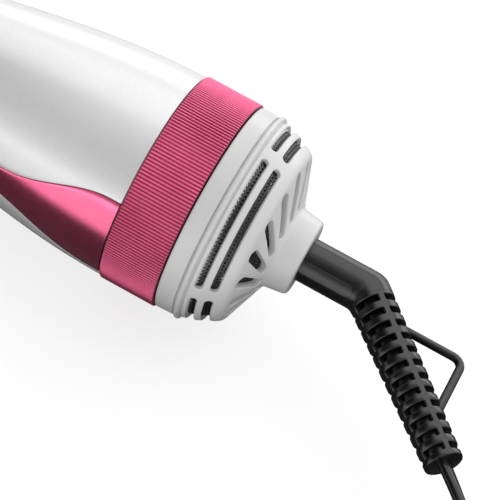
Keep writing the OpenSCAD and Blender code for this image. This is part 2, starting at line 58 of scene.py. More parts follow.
RING_FRONT_GAP = 0.15
AXIS_Z = (RING_LOW.z + RING_HIGH.z) / 2 / MM
ORIGIN = np.array([RING_LOW.x / MM - RING_FRONT_GAP, 0.0, AXIS_Z])
ROW = np.zeros(3)


def add_object(name, data):
    made = bpy.data.objects.new(name, data)
    bpy.context.scene.collection.objects.link(made)
    return made


def box_mm(name):
    """The low and high corner of a CAD node, in the row frame."""
    return [np.array(corner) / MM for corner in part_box(name)]


# ---- camera, which looks at the tail from above the handle's -Y side ----

ELEVATION = math.radians(49)
TURN = math.radians(5.4)
ROLL = math.radians(28.7)
CAMERA_DISTANCE = 540
TARGET_X = 33.3
TARGET_DROP = 5.23
SENSOR_MM = 36
FOCAL_MM = 138.96


def make_camera():
    along = Vector((1, 0, 0))
    over = Vector((0, math.sin(ELEVATION), math.cos(ELEVATION)))
    toward = Vector((0, -math.cos(ELEVATION), math.sin(ELEVATION)))
    back = toward * math.cos(TURN) + along * math.sin(TURN)
    side = along * math.cos(TURN) - toward * math.sin(TURN)
    right = side * math.cos(ROLL) + over * math.sin(ROLL)
    up = over * math.cos(ROLL) - side * math.sin(ROLL)
    target = Vector(ORIGIN) + along * TARGET_X - over * TARGET_DROP
    place = (target + back * CAMERA_DISTANCE) * MM
    data = bpy.data.cameras.new("camera")
    data.sensor_width = SENSOR_MM
    data.lens = FOCAL_MM
    camera = add_object("camera", data)
    columns = [list(v) + [0] for v in (right, up, back)] + [list(place) + [1]]
    camera.matrix_world = Matrix(columns).transposed()
    bpy.context.scene.camera = camera


make_camera()


# ---- materials ----


NOISE_LOW, NOISE_HIGH = 0.3, 0.7


def put(tree, socket, value):
    """Gives a socket its value, or its link when the value is another socket."""
    if isinstance(value, bpy.types.NodeSocket):
        tree.links.new(value, socket)
    else:
        socket.default_value = value


def add_node(tree, kind, inputs=()):
    made = tree.nodes.new("ShaderNode" + kind)
    for name, value in dict(inputs).items():
        put(tree, made.inputs[name], value)
    return made


def add_ramp(tree, fac, stops):
    """A colour ramp through (position, colour) stops."""
    made = add_node(tree, "ValToRGB", {"Fac": fac})
    elements = made.color_ramp.elements
    while len(elements) < len(stops):
        elements.new(1.0)
    for element, (position, color) in zip(elements, stops):
        element.position = position
        element.color = (*color, 1)
    return made


class Finish:
    """A material made of the Principled shader and procedural nodes in object coordinates."""

    def __init__(self, name, color, roughness, metallic=0.0):
        self.material = bpy.data.materials.new(name)
        self.material.use_nodes = True
        self.tree = self.material.node_tree
        self.shader = self.tree.nodes["Principled BSDF"]
        self.where = self.add("TexCoord").outputs["Object"]
        self.color = color
        self.set("Base Color", (*color, 1))
        self.set("Roughness", roughness)
        self.set("Metallic", metallic)

    def set(self, socket, value):
        put(self.tree, self.shader.inputs[socket], value)

    def add(self, kind, inputs=()):
        return add_node(self.tree, kind, inputs)

    def noise(self, size_mm, detail, stretch=(1, 1, 1)):
        place = self.add("Mapping", {"Scale": stretch, "Vector": self.where})
        inputs = {"Scale": 1 / (size_mm * MM), "Detail": detail, "Vector": place.outputs["Vector"]}
        return self.add("TexNoise", inputs).outputs["Fac"]

    def cells(self, size_mm):
        inputs = {"Scale": 1 / (size_mm * MM), "Vector": self.where}
        return self.add("TexVoronoi", inputs).outputs["Color"]

    def bands(self, scale, distortion, direction="X"):
        inputs = {"Scale": scale, "Distortion": distortion, "Vector": self.where}
        made = self.add("TexWave", inputs)
        made.bands_direction = direction
        return made.outputs["Fac"]

    def mottle(self, fac, amount, tint=(1, 1, 1)):
        """Colour that wanders a little lighter and darker than the base colour."""
        low = [c * (1 - amount) * t for c, t in zip(self.color, tint)]
        high = [min(1, c * (1 + amount)) for c in self.color]
        made = add_ramp(self.tree, fac, ((NOISE_LOW, low), (NOISE_HIGH, high)))
        self.set("Base Color", made.outputs["Color"])
        return made.outputs["Color"]

    def vary(self, fac, low, high):
        """Roughness that wanders from low to high."""
        span = {"From Min": NOISE_LOW, "From Max": NOISE_HIGH, "To Min": low, "To Max": high}
        self.set("Roughness", self.add("MapRange", {**span, "Value": fac}).outputs["Result"])

    def bump(self, fac, depth_mm):
        made = self.add("Bump", {"Distance": depth_mm * MM, "Strength": 1.0, "Height": fac})
        self.set("Normal", made.outputs["Normal"])

    def coat(self, weight, roughness):
        self.set("Coat Weight", weight)
        self.set("Coat Roughness", roughness)


def moulded(name, color, roughness, grain_mm, depth_mm, mottle, coat=0.0, shine=0.5):
    """Moulded plastic: a fine spark-eroded grain, with its gloss and shade uneven."""
    made = Finish(name, color, roughness)
    made.mottle(made.noise(14, 4), mottle)
    made.vary(made.noise(5, 5), roughness * 0.85, roughness * 1.15)
    made.bump(made.noise(grain_mm, 2), depth_mm)
    made.coat(coat, 0.2)
    made.set("Specular IOR Level", shine)
    return made.material


def pearl(name, color):
    """Pearl lacquer: fine bright flakes under a clear coat."""
    made = Finish(name, color, 0.34, 0.3)
    made.mottle(made.cells(0.18), 0.03, (1, 1, 1.01))
    made.vary(made.noise(7, 5), 0.3, 0.37)
    made.bump(made.noise(0.3, 2), 0.003)
    made.coat(0.35, 0.16)
    return made.material


PINK = (0.76, 0.105, 0.235)
LACQUER_TINT = (1, 0.9, 0.95)
ALONG_X = (12, 1, 1)
# Share of the base colour left at the groove roots of the ribbed ring: painted shade.
GROOVE_SHADE = 0.3


def anodised(name, color, roughness, stretch, metallic):
    """Coloured metal, with a fine grain that may run one way."""
    made = Finish(name, color, roughness, metallic)
    made.mottle(made.noise(9, 4), 0.06, LACQUER_TINT)
    made.vary(made.noise(0.8, 4, stretch), roughness * 0.85, roughness * 1.2)
    made.bump(made.noise(0.25, 3, stretch), 0.006)
    made.coat(0.2, 0.12)
    return made.material


def ribbed_pink(name, color, low_mm, high_mm):
    """Coloured metal on a ring round the handle's axis, with painted shade that darkens its colour in the
    grooves.
    """
    made = Finish(name, color, 0.3, 0.85)
    centred = {"Location": (0, 0, -AXIS_Z * MM), "Scale": (0, 1, 1), "Vector": made.where}
    radius = made.add("VectorMath", {0: made.add("Mapping", centred).outputs["Vector"]})
    radius.operation = "LENGTH"
    span = {"From Min": low_mm * MM, "From Max": high_mm * MM, "Value": radius.outputs["Value"]}
    height = made.add("MapRange", span).outputs["Result"]
    # Painted shade: the groove roots get the base colour darkened to this share, blended up to the rib
    # tops.
    groove = (*[c * GROOVE_SHADE for c in color], 1)
    mottled = made.mottle(made.noise(9, 4), 0.06, LACQUER_TINT)
    blend = made.add("MixRGB", {"Fac": height, "Color1": groove, "Color2": mottled})
    made.set("Base Color", blend.outputs["Color"])
    made.vary(made.noise(0.8, 4, ALONG_X), 0.26, 0.36)
    made.bump(made.noise(0.25, 3, ALONG_X), 0.004)
    made.coat(0.2, 0.12)
    return made.material


def metal(name, color, roughness=0.28, stretch=(1, 1, 1)):
    made = Finish(name, color, roughness, 1.0)
    made.mottle(made.noise(6, 4), 0.08)
    made.vary(made.noise(1.2, 5, stretch), roughness * 0.7, roughness * 1.4)
    made.bump(made.noise(0.4, 3, stretch), 0.006)
    return made.material


def laminated(name, color):
    """Thin steel sheets stacked along the axis."""
    made = Finish(name, color, 0.4, 0.9)
    sheets = made.bands(300, 0.6)
    made.mottle(sheets, 0.35)
    made.bump(sheets, 0.05)
    made.vary(made.noise(2, 4), 0.3, 0.5)
    return made.material


def wound(name, color):
    """Enamelled copper wire, laid in turns."""
    made = Finish(name, color, 0.3, 0.9)
    turns = made.bands(260, 2, "DIAGONAL")
    made.mottle(turns, 0.3)
    made.bump(turns, 0.12)
    made.vary(made.noise(1, 3), 0.2, 0.4)
    return made.material


def woven(name, color):
    """A hook-and-loop strap: short fibres on a woven band."""
    made = Finish(name, color, 0.85)
    made.mottle(made.noise(0.5, 5), 0.35)
    made.bump(made.noise(0.35, 6), 0.12)
    made.vary(made.noise(1, 3), 0.75, 0.95)
    made.set("Sheen Weight", 0.4)
    made.set("Sheen Roughness", 0.5)
    return made.material


MATERIALS = {
    "pearl_white": pearl("pearl_lacquer", (0.86, 0.86, 0.865)),
    "pink_metallic": anodised("pink_lacquered_metal", PINK, 0.3, ALONG_X, 0.85),
    "pink_inlay": anodised("pink_gloss_inlay", (0.95, 0.17, 0.33), 0.2, (1, 1, 1), 0.95),
    "pink_ceramic": anodised("pink_ceramic_plate", (0.5, 0.1, 0.19), 0.34, (6, 1, 1), 0.5),
    "pink_ribbed": ribbed_pink("pink_ribbed_ring", (0.9, 0.15, 0.3), 31.62, 31.92),
    "filter_mesh": metal("black_perforated_sheet", (0.09, 0.09, 0.094), 0.36),
    "nickel_plate": metal("nickel_plate", (0.72, 0.7, 0.66), 0.2),
    "steel": metal("bright_steel", (0.6, 0.6, 0.61), 0.3, (4, 1, 1)),
    "brass": metal("brass", (0.75, 0.55, 0.22), 0.28),
    "heater_wire": metal("heater_wire", (0.42, 0.36, 0.33), 0.45),
    "copper_winding": wound("copper_winding", (0.72, 0.3, 0.13)),
    "laminated_steel": laminated("laminated_steel", (0.32, 0.33, 0.36)),
    "tie_strap": woven("hook_and_loop_strap", (0.03, 0.03, 0.033)),
}
BLACK_RUBBER = (0.0028, 0.0028, 0.003)
BLACK_JACKET = (0.004, 0.004, 0.0043)
# Each row gives a colour, roughness, grain size, grain depth, mottle, clear coat and shine.
MOULDED = {
    "tail_white": ("satin_white_plastic", (0.76, 0.76, 0.756), 0.36, 0.5, 0.006, 0.02, 0.15),
    "black_moulding": ("black_moulding", (0.022, 0.022, 0.023), 0.38, 0.4, 0.01, 0.15),
    "black_elastomer": ("black_elastomer", BLACK_RUBBER, 0.27, 0.3, 0.008, 0.3, 0.0, 0.72),
    "cord_jacket": ("black_cord_jacket", BLACK_JACKET, 0.27, 0.5, 0.008, 0.3, 0.0, 0.6),
    "ferrite": ("ferrite", (0.05, 0.048, 0.05), 0.7, 0.25, 0.03, 0.2),
    "carbon": ("carbon", (0.02, 0.02, 0.021), 0.6, 0.2, 0.02, 0.25),
    "circuit_board": ("circuit_board", (0.04, 0.26, 0.1), 0.4, 0.5, 0.01, 0.12, 0.3),
    "natural_nylon": ("natural_nylon", (0.75, 0.73, 0.66), 0.45, 0.5, 0.01, 0.05),
    "mica": ("mica_sheet", (0.62, 0.52, 0.36), 0.35, 1.2, 0.03, 0.18, 0.2),
    "lead_sleeve": ("lead_sleeve", (0.06, 0.12, 0.42), 0.4, 0.4, 0.01, 0.1),
    "nylon_pin": ("nylon_pin", (0.03, 0.03, 0.032), 0.3, 0.4, 0.006, 0.15, 0.2),
    "bristle": ("nylon_bristle", (0.035, 0.033, 0.033), 0.34, 0.2, 0.004, 0.3),
}
MATERIALS.update({slot: moulded(*row) for slot, row in MOULDED.items()})


# ---- mesh helpers ----


class Solid:
    """Collects closed solids, which together make one piece."""

    def __init__(self):
        self.points = []
        self.faces = []

    def add(self, points, faces):
        start = len(self.points)
        self.points.extend([tuple(p) for p in points])
        self.faces.extend([tuple(start + i for i in f) for f in faces])
        return self

    def loft(self, rings, joined=False):
        """A skin over rings of equally many points. It is closed at both ends, or joined up."""
        count = len(rings[0])
        points = [p for r in rings for p in r]
        faces = []
        last = len(rings) if joined else len(rings) - 1
        for i in range(last):
            a = i * count
            b = (i + 1) % len(rings) * count
            for k in range(count):
                m = (k + 1) % count
                faces.append((a + k, a + m, b + m, b + k))
        if not joined:
            faces.append(tuple(range(count))[::-1])
            faces.append(tuple(range(len(points) - count, len(points))))
        return self.add(points, faces)

    def lathe(self, outline, segments=96, swell=None):
        """A closed outline of (radius, x) points turned about the handle's axis.

        swell, a function of the angle, raises the points that have a third value."""
        rings = []
        for i in range(segments):
            angle = 360.0 * i / segments
            extra = swell(angle) if swell else 0.0
            rings.append([round_the_axis(r + (extra if grows else 0), x, angle)
                          for r, x, *grows in outline])
        return self.loft(rings, True)

    def mesh(self, name, sharp, origin=ORIGIN):
        made = bpy.data.meshes.new(name)
        made.from_pydata([tuple((np.array(p) + origin) * MM) for p in self.points], [], self.faces)
        work = bmesh.new()
        work.from_mesh(made)
        bmesh.ops.remove_doubles(work, verts=work.verts, dist=1e-7)
        bmesh.ops.recalc_face_normals(work, faces=work.faces)
        work.to_mesh(made)
        work.free()
        shade(made, sharp)
        return made

    def piece(self, name, body, material, slot=None, origin=ORIGIN, replaces=(), sharp=32):
        made = add_object(name, self.mesh(name, sharp, origin))
        made.data.materials.append(MATERIALS[material])
        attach(made, body)
        if replaces:
            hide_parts(*replaces)
        slot or material
        return made


def shade(mesh, sharp):
    """Smooth shading, with edges sharper than an angle in degrees kept crisp."""
    mesh.polygons.foreach_set("use_smooth", [True] * len(mesh.polygons))
    mesh.set_sharp_from_angle(angle=math.radians(sharp))


def round_the_axis(radius, x, angle):
    a = math.radians(angle)
    return (x, -radius * math.sin(a), radius * math.cos(a))


def rounded(corners, steps=4):
    """A closed outline of (a, b, fillet) corners, each turned into a short curve."""
    made = []
    count = len(corners)
    for i, (a, b, fillet) in enumerate(corners):
        here = np.array([a, b], float)
        if fillet == 0:
            made.append(tuple(here))
            continue
        before = np.array(corners[i - 1][:2], float) - here
        after = np.array(corners[(i + 1) % count][:2], float) - here
        start = here + before / np.linalg.norm(before) * min(fillet, 0.48 * np.linalg.norm(before))
        end = here + after / np.linalg.norm(after) * min(fillet, 0.48 * np.linalg.norm(after))
        for k in range(steps + 1):
            t = k / steps
            made.append(tuple((1 - t) ** 2 * start + 2 * t * (1 - t) * here + t * t * end))
    return made


def smooth_line(points, steps):
    """A smooth line through given points, with steps stretches between each pair."""
    p = [np.array(q, float) for q in points]
    made = []
    for i in range(len(p) - 1):
        a, b, c, d = p[max(i - 1, 0)], p[i], p[i + 1], p[min(i + 2, len(p) - 1)]
        for k in range(steps):
            t = k / steps
            made.append(0.5 * (2 * b + (c - a) * t + (2 * a - 5 * b + 4 * c - d) * t * t
                               + (3 * b - a - 3 * c + d) * t ** 3))
    made.append(p[-1])
    return made


def sweep(path, section, roll=lambda share: 0.0, closed=False):
    """Rings of a flat section along a path. Roll, in degrees, turns its wide side up."""
    rings = []
    count = len(path)
    for i, here in enumerate(path):
        before = path[i - 1] if closed or i else here
        after = path[(i + 1) % count] if closed or i < count - 1 else here
        ahead = np.array(after, float) - np.array(before, float)
        ahead /= np.linalg.norm(ahead)
        across = np.cross(ahead, [0, 0, 1])
        across /= np.linalg.norm(across)
        over = np.cross(across, ahead)
        turn = math.radians(roll(i / (count - 1)))
        wide = across * math.cos(turn) + over * math.sin(turn)
        thin = over * math.cos(turn) - across * math.sin(turn)
        rings.append([np.array(here) + wide * w + thin * t for w, t in section])
    return rings


def circle(radius, count=32):
    turns = [2 * math.pi * k / count for k in range(count)]
    return [(radius * math.cos(a), radius * math.sin(a)) for a in turns]


def oval(half_w, half_h, power_w, power_h, count):
    """An oval, an ellipse with both powers 1 and squarer with lower ones."""
    made = []
    for k in range(count):
        a = 2 * math.pi * (k + 0.5) / count
        c, s = math.cos(a), math.sin(a)
        made.append((half_w * math.copysign(abs(c) ** power_w, c),
                     half_h * math.copysign(abs(s) ** power_h, s)))
    return made


def ease(t):
    t = min(1.0, max(0.0, t))
    return t * t * (3 - 2 * t)


# ---- cord, hank, plug ----

CORD_W = 5.6
CORD_T = 3.2
CORD_EXIT_L = 56.5
EXIT_ROLL, FLAT_ROLL = 44, 90
ELBOW_X = 67.9
ELBOW = math.radians(45)
ARM = np.array([math.cos(ELBOW), -math.sin(ELBOW), 0])
CORD_ROUTE = [
    tuple(ORIGIN + np.array([ELBOW_X, 0, 0]) + ARM * CORD_EXIT_L),
    (211, -44, 32), (216, -49, 31.4), (222, -55, 29.6), (229, -61, 26), (237, -66, 21),
    (246, -70, 15.6), (256, -72, 10.4), (267, -72.5, 6.4), (279, -71.5, 4.2), (291, -70.5, 4),
    (303, -68.6, 4), (315, -65, 4.2),
]
PLUG_ROUTE = [
    (276, -16.8, 10.4), (266, -16.6, 10), (254.5, -13.7, 7.4), (246, -5, 4.4), (243, 6.5, 3.2),
    (246, 18, 4.4), (254.5, 26.6, 8.4), (264, 29.8, 12.2), (272, 30, 13),
]
HANK_LOW, HANK_HIGH = box_mm("cord_hank")
HANK_MID = (HANK_LOW + HANK_HIGH) / 2
HANK_RUN = (HANK_HIGH - HANK_LOW)[0] / 2 - (HANK_HIGH - HANK_LOW)[1] / 2
TURN_RADII = (23.3, 20.0, 16.7, 16.7, 20.0, 23.3)
LAYER_Z = (4.7, 4.7, 4.7, 10.5, 10.5, 10.5)
PINCH = 4.5
PINCH_LENGTH = 17


def pinch(x):
    return PINCH * math.exp(-(((x - HANK_MID[0]) / PINCH_LENGTH) ** 2))


def hank_bend(side, radius, z, steps=12):
    made = []
    for k in range(steps + 1):
        a = math.pi * (k / steps - 0.5)
        made.append((HANK_MID[0] + side * (HANK_RUN + radius * math.cos(a)),
                     HANK_MID[1] + side * radius * math.sin(a), z))
    return made


def hank_run(side, near, far, steps=10):
    """A straight run from bend to bend. near and far are the (radius, z) it goes between."""
    made = []
    for k in range(1, steps):
        t = k / steps
        x = HANK_MID[0] + side * HANK_RUN * (1 - 2 * t)
        radius = near[0] + (far[0] - near[0]) * ease(t) - pinch(x)
        if near[0] == far[0] and near[1] != far[1]:
            radius -= 3.3 * math.sin(math.pi * t) ** 2
        z = near[1] + (far[1] - near[1]) * ease(t / 0.7)
        made.append((x, HANK_MID[1] + side * radius, z))
    return made


def hank_turns():
    made = [(HANK_MID[0] + HANK_RUN - 8, HANK_MID[1] - TURN_RADII[0], 4.5)]
    rows = list(zip(TURN_RADII, LAYER_Z))
    for here, after in zip(rows, rows[1:]):
        made += hank_bend(1, *here) + hank_run(1, here, here)
        made += hank_bend(-1, *here) + hank_run(-1, here, after)
    made += hank_bend(1, *rows[-1])
    made += [p for p in hank_run(1, rows[-1], rows[-1]) if p[0] > PLUG_ROUTE[0][0] + 6]
    return made


def cord_section():
    """Two round cores side by side in one jacket, with a shallow groove between them."""
    outline = oval(CORD_W / 2, CORD_T / 2, 0.72, 0.85, 28)
    return [(w, t * (1 - 0.17 * math.exp(-((w / 0.42) ** 2)))) for w, t in outline]


def make_cord():
    free = smooth_line(CORD_ROUTE, 5)
    path = [tuple(p) for p in [*free, *hank_turns(), *smooth_line(PLUG_ROUTE, 5)]]
    free_share = len(free) / len(path)
    cord = Solid()
    cord.loft(sweep(path, cord_section(),
                    lambda s: EXIT_ROLL + (FLAT_ROLL - EXIT_ROLL) * min(1, 2 * s / free_share)))
    made = cord.piece("mains_cord", "swivel", "cord_jacket", origin=ROW,
                      replaces=("supply_cord", "cord_hank", "plug_lead"), sharp=60)
    return made, path


TIE_HALF_W = 4
TIE_SLACK = 0.5
TIE_LOW = 1.2
TAB_HALF_W = 3.8


def make_tie():
    """A hook-and-loop strap round the middle of the hank, with its end lapped over."""
    half_y = TURN_RADII[0] - pinch(HANK_MID[0]) + CORD_T / 2 + TIE_SLACK
    high = LAYER_Z[-1] + CORD_W / 2 + TIE_SLACK
    middle = (TIE_LOW + high) / 2
    corners = ((-half_y, TIE_LOW), (half_y, TIE_LOW), (half_y, high), (-half_y, high))
    edges = ((-TIE_HALF_W, 0), (TIE_HALF_W, 0), (TIE_HALF_W, 1), (-TIE_HALF_W, 1))
    loops = []
    for y, z in rounded([(*corner, 4) for corner in corners], 8):
        out = np.array([y / half_y, (z - middle) / (high - middle)])
        out = np.sign(out) * np.abs(out) ** 6
        out /= np.linalg.norm(out)
        loops.append([(HANK_MID[0] + side, HANK_MID[1] + y + out[0] * grow, z + out[1] * grow)
                      for side, grow in edges])
    strap = Solid()
    strap.loft(loops, joined=True)
    near, far = 2.0, half_y - 3.0
    tab = rounded([(near, -TAB_HALF_W, 1.2), (far, -TAB_HALF_W, 0.4), (far, TAB_HALF_W, 0.4),
                   (near, TAB_HALF_W, 1.2)], 5)
    strap.loft([[(HANK_MID[0] + x, HANK_MID[1] + y, high + z) for y, x in tab] for z in (0.9, 1.6, 1.9)])
    return strap.piece("hank_strap", "swivel", "tie_strap", origin=ROW, replaces=("cord_tie",), sharp=40)


PLUG_LOW, PLUG_HIGH = box_mm("plug_body")
PLUG_MID = (PLUG_LOW + PLUG_HIGH) / 2
PLUG_STEPS = 60
RELIEF_STEPS = 80
PIN_R = 2.4
PIN_PROFILE = ((0, PIN_R), (0.52, PIN_R), (0.53, 2.28), (0.9, 2.28), (0.95, 2.1), (0.985, 1.5), (1, 0.6))


def plug_ring(x, half_w, half_h, power=2.4, count=56):
    return [(x, PLUG_MID[1] + y, PLUG_MID[2] + z)
            for y, z in oval(half_w, half_h, 2 / power, 2 / power, count)]


def make_plug():
    def piece(solid, name, material, node):
        return solid.piece(name, "swivel", material, origin=ROW, replaces=(node,), sharp=40)

    body = []
    for k in range(PLUG_STEPS + 1):
        t = k / PLUG_STEPS
        width = 6.4 + 11.2 * ease((t - 0.06) / 0.66)
        height = 6.0 + 7.0 * ease((t - 0.04) / 0.6)
        lip = 1.2 * (max(0, (t - 0.965)) / 0.035) ** 2 + 0.8 * (max(0, (0.04 - t)) / 0.04) ** 2
        grip = 0.35 * (1 - math.cos(2 * math.pi * (t - 0.2) * 9)) / 2 if 0.2 < t < 0.644 else 0
        x = PLUG_LOW[0] + (PLUG_HIGH[0] - PLUG_LOW[0]) * t
        body.append(plug_ring(x, width - lip - grip, height - lip - grip))
    relief = []
    low, high = box_mm("plug_relief")
    for k in range(RELIEF_STEPS + 1):
        t = k / RELIEF_STEPS
        rib = math.cos(2 * math.pi * t * 5) > 0.25 and 0.05 < t < 0.93
        radius = 3.9 + 1.6 * t - (0.9 if rib else 0)
        relief.append(plug_ring(low[0] + (high[0] - low[0]) * t, radius, radius * 0.92, 2, 32))
    pins = Solid()
    low, high = box_mm("plug_pins")
    for y in (low[1] + PIN_R, high[1] - PIN_R):
        pins.loft([[(low[0] + (high[0] - low[0]) * t, y + a, PLUG_MID[2] + b) for a, b in circle(r)]
                   for t, r in PIN_PROFILE])
    return [
        piece(Solid().loft(body), "plug_shell", "cord_jacket", "plug_body"),
        piece(Solid().loft(relief), "plug_strain_relief", "cord_jacket", "plug_relief"),
        piece(pins, "plug_contact_pins", "nickel_plate", "plug_pins"),
    ]


cord, cord_path = make_cord()
tie = make_tie()
plug_pieces = make_plug()
[tuple(np.array(p) * MM) for p in cord_path]
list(plug_pieces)


# ---- handle ----

SWELL_LEN = 112
HANDLE_LEN = 168
SLIM_R = 18.9
BULB_R = 12.55
FLARE_R = 2.1
WALL = 2.2
INLAY_LEN = 100
INLAY_FOOT = 9.2
INLAY_BLADE = 5.6
INLAY_THICK = 1.0
INLAY_GAP = 0.17
RECESS = 1.08
SEAM = 0.05
HALF_TURN = 89.95
SEAM_DEPTH = 0.3
LIP = 0.25


def handle_r(x):
    if x > -SWELL_LEN:
        return SLIM_R + BULB_R * (1 + math.cos(math.pi * x / SWELL_LEN)) / 2
    share = (x + SWELL_LEN) / (HANDLE_LEN - SWELL_LEN)
    return SLIM_R + FLARE_R * (1 - math.cos(math.pi * share)) / 2


def inlay_half(x):
    foot = 1.0 if x > -3 else 0.0 if x < -37 else (1 + math.cos(math.pi * (x + 3) / 34)) / 2
    return INLAY_FOOT * foot + INLAY_BLADE * (1 - min(1.0, -x / INLAY_LEN) ** 1.8)


def mirrored(half, radius, x, middle):
    """Half a section of (angle, depth) points and its mirror image, about the angle middle."""
    other = [(-a, d) for a, d in reversed(half[1:-1])]
    return [round_the_axis(radius - d, x, middle + a) for a, d in half + other]


def shell_section(x, middle, inset):
    """One closed section of a half shell about the angle middle."""
    radius = handle_r(x) - inset
    under_inlay = x > -INLAY_LEN - INLAY_GAP
    half_gap = inlay_half(x) + INLAY_GAP if under_inlay else SEAM
    depth = RECESS if under_inlay else SEAM_DEPTH
    inner = WALL - inset
    edge = 90 - math.degrees(math.asin(half_gap / radius))
    lip = math.degrees(LIP / radius)
    half = [(edge * (1 - (1 - k / 22) ** 1.15) - lip * k / 22, 0) for k in range(23)]
    half += [(edge - lip * 0.3, 0.07), (edge, LIP), (edge, depth)]
    half += [(edge + (90 - edge) * k / 3, depth) for k in (1, 2)] + [(HALF_TURN, depth)]
    half += [(HALF_TURN * (1 - k / 12), inner) for k in range(13)]
    return mirrored(half, radius, x, middle)


def handle_stations():
    ends = [(-HANDLE_LEN, 0.35), (-HANDLE_LEN + 0.08, 0.15), (-HANDLE_LEN + 0.3, 0.0)]
    body = [(-HANDLE_LEN + 1 + 66.7 * k / 38, 0.0) for k in range(39)]
    tip = [(-INLAY_LEN - INLAY_GAP - 0.01, 0.0), (-INLAY_LEN - INLAY_GAP + 0.01, 0.0)]
    front = [(-99.6 + 99 * k / 84, 0.0) for k in range(85)]
    return ends + body + tip + front + [(-0.3, 0.02), (-0.1, 0.1), (0, 0.3)]


SCREWS = [(x, y) for x in (-94, -152) for y in (15.9, -15.9)]
SCREW_HOLE_R = 2.6
SCREW_FLOOR_Z = -6.5


def screw_pocket(solid, x, y):
    """The wall and floor of a screw's recess, inside the lower shell."""
    outer_r = SCREW_HOLE_R + 0.7
    reach = handle_r(x) - WALL / 2

    def ring(radius, z=None):
        made = []
        for a, b in circle(radius):
            deep = -math.sqrt(max(reach ** 2 - (y + b) ** 2, SCREW_FLOOR_Z ** 2))
            made.append((x + a, y + b, deep if z is None else z))
        return made

    under = SCREW_FLOOR_Z + 1.2
    solid.loft([ring(outer_r), ring(outer_r, under), ring(1.4, under), ring(1.4, SCREW_FLOOR_Z),
                ring(SCREW_HOLE_R, SCREW_FLOOR_Z), ring(SCREW_HOLE_R)], joined=True)


def cut_holes(piece, cutter):
    """Takes the cutter out of the piece for good, and removes the cutter."""
    tool = add_object("cutter", cutter.mesh("cutter", 30))
    step = piece.modifiers.new("cut", "BOOLEAN")
    step.object = tool
    step.operation = "DIFFERENCE"
    step.solver = "EXACT"
    bpy.context.view_layer.update()
    done = bpy.data.meshes.new_from_object(piece.evaluated_get(bpy.context.evaluated_depsgraph_get()))
    piece.modifiers.remove(step)
    old = piece.data
    piece.data = done
    done.name = old.name
    bpy.data.meshes.remove(old)
    bpy.data.objects.remove(tool)
    shade(done, 32)


def make_shells():
    for name, middle in (("upper_shell", 0), ("lower_shell", 180)):
        shell = Solid()
        shell.loft([shell_section(x, middle, inset) for x, inset in handle_stations()])
        made = shell.piece(name + "_skin", "housing", "pearl_white", replaces=(name,))
    cutter = Solid()
    pockets = Solid()
    for x, y in SCREWS:
        cutter.loft([[(x + a, y + b, z) for a, b in circle(SCREW_HOLE_R)] for z in (-26, SCREW_FLOOR_Z)])
        screw_pocket(pockets, x, y)
    cut_holes(made, cutter)
    pockets.piece("screw_pockets", "housing", "pearl_white")


def make_inlays():
    stations = [-INLAY_LEN * (1 - (k / 90) ** 1.5) for k in range(1, 91)]
    stations = [(x, 0.0) for x in stations if x < -0.45] + [(-0.45, 0.0), (-0.25, 0.06), (-0.15, 0.22)]
    for name, middle in (("left_inlay", 90), ("right_inlay", -90)):
        rings = []
        for x, inset in stations:
            radius = handle_r(x) - inset
            edge = math.degrees(math.asin(inlay_half(x) / radius))
            lip = min(math.degrees(LIP / radius), edge / 2)
            half = [((edge - lip) * k / 12, 0) for k in range(13)]
            half += [(edge - lip * 0.3, 0.07), (edge, LIP)]
            half += [(edge * (1 - k / 6), INLAY_THICK) for k in range(7)]
            rings.append(mirrored(half, radius, x, middle))
        inlay = Solid().loft(rings)
        inlay.piece(name + "_skin", "housing", "pink_inlay", "pink_metallic", replaces=(name,))


# ---- selector ring and tail ----

RIBS = 200
RIB_HEIGHT = 0.46
RIB_ROOT_R = 31.54
SAMPLES_PER_RIB = 8


def rib(angle):
    share = (angle * RIBS / 360) % 1 * 2 - 1
    return RIB_HEIGHT * (1 - share ** 2)


def make_selector():
    ring = Solid()
    front = [(30.24, 0.15), (31.3, 0.15), (31.5, 0.2)]
    ribbed = [(RIB_ROOT_R - 0.12, 0.32, True), (RIB_ROOT_R, 0.5, True), (RIB_ROOT_R, 1.0, True),
              (RIB_ROOT_R, 16.4, True), (RIB_ROOT_R, 16.95, True), (RIB_ROOT_R - 0.12, 17.13, True)]
    back = [(31.5, 17.25), (31.3, 17.3), (30.24, 17.3)]
    ring.lathe(front + ribbed + back, RIBS * SAMPLES_PER_RIB, rib)
    ring.piece("selector_ring_ribbed", "selector", "pink_ribbed", "pink_metallic",
               replaces=("selector_ring",), sharp=50)


def make_tail_band():
    band = Solid()
    flat = [(28.88, 17.6, 0), (31.2, 17.6, 0.3), (31.5, 18.0, 0.4), (31.34, 23.0, 0.2)]
    groove = [(30.5, 23.1, 0.1), (30.5, 23.4, 0.1)]
    bead = [(31.3, 23.5, 0.2), (31.92, 23.85, 0.5), (31.92, 24.75, 0.5), (31.0, 25.05, 0.2)]
    edge = [(30.2, 25.15, 0.1), (30.2, 25.45, 0.1), (30.7, 25.7, 0.1), (28.88, 25.7, 0)]
    band.lathe(rounded(flat + groove + bead + edge, 5), 240)
    band.piece("tail_band_skin", "housing", "tail_white", "pearl_white", replaces=("tail_band",), sharp=50)


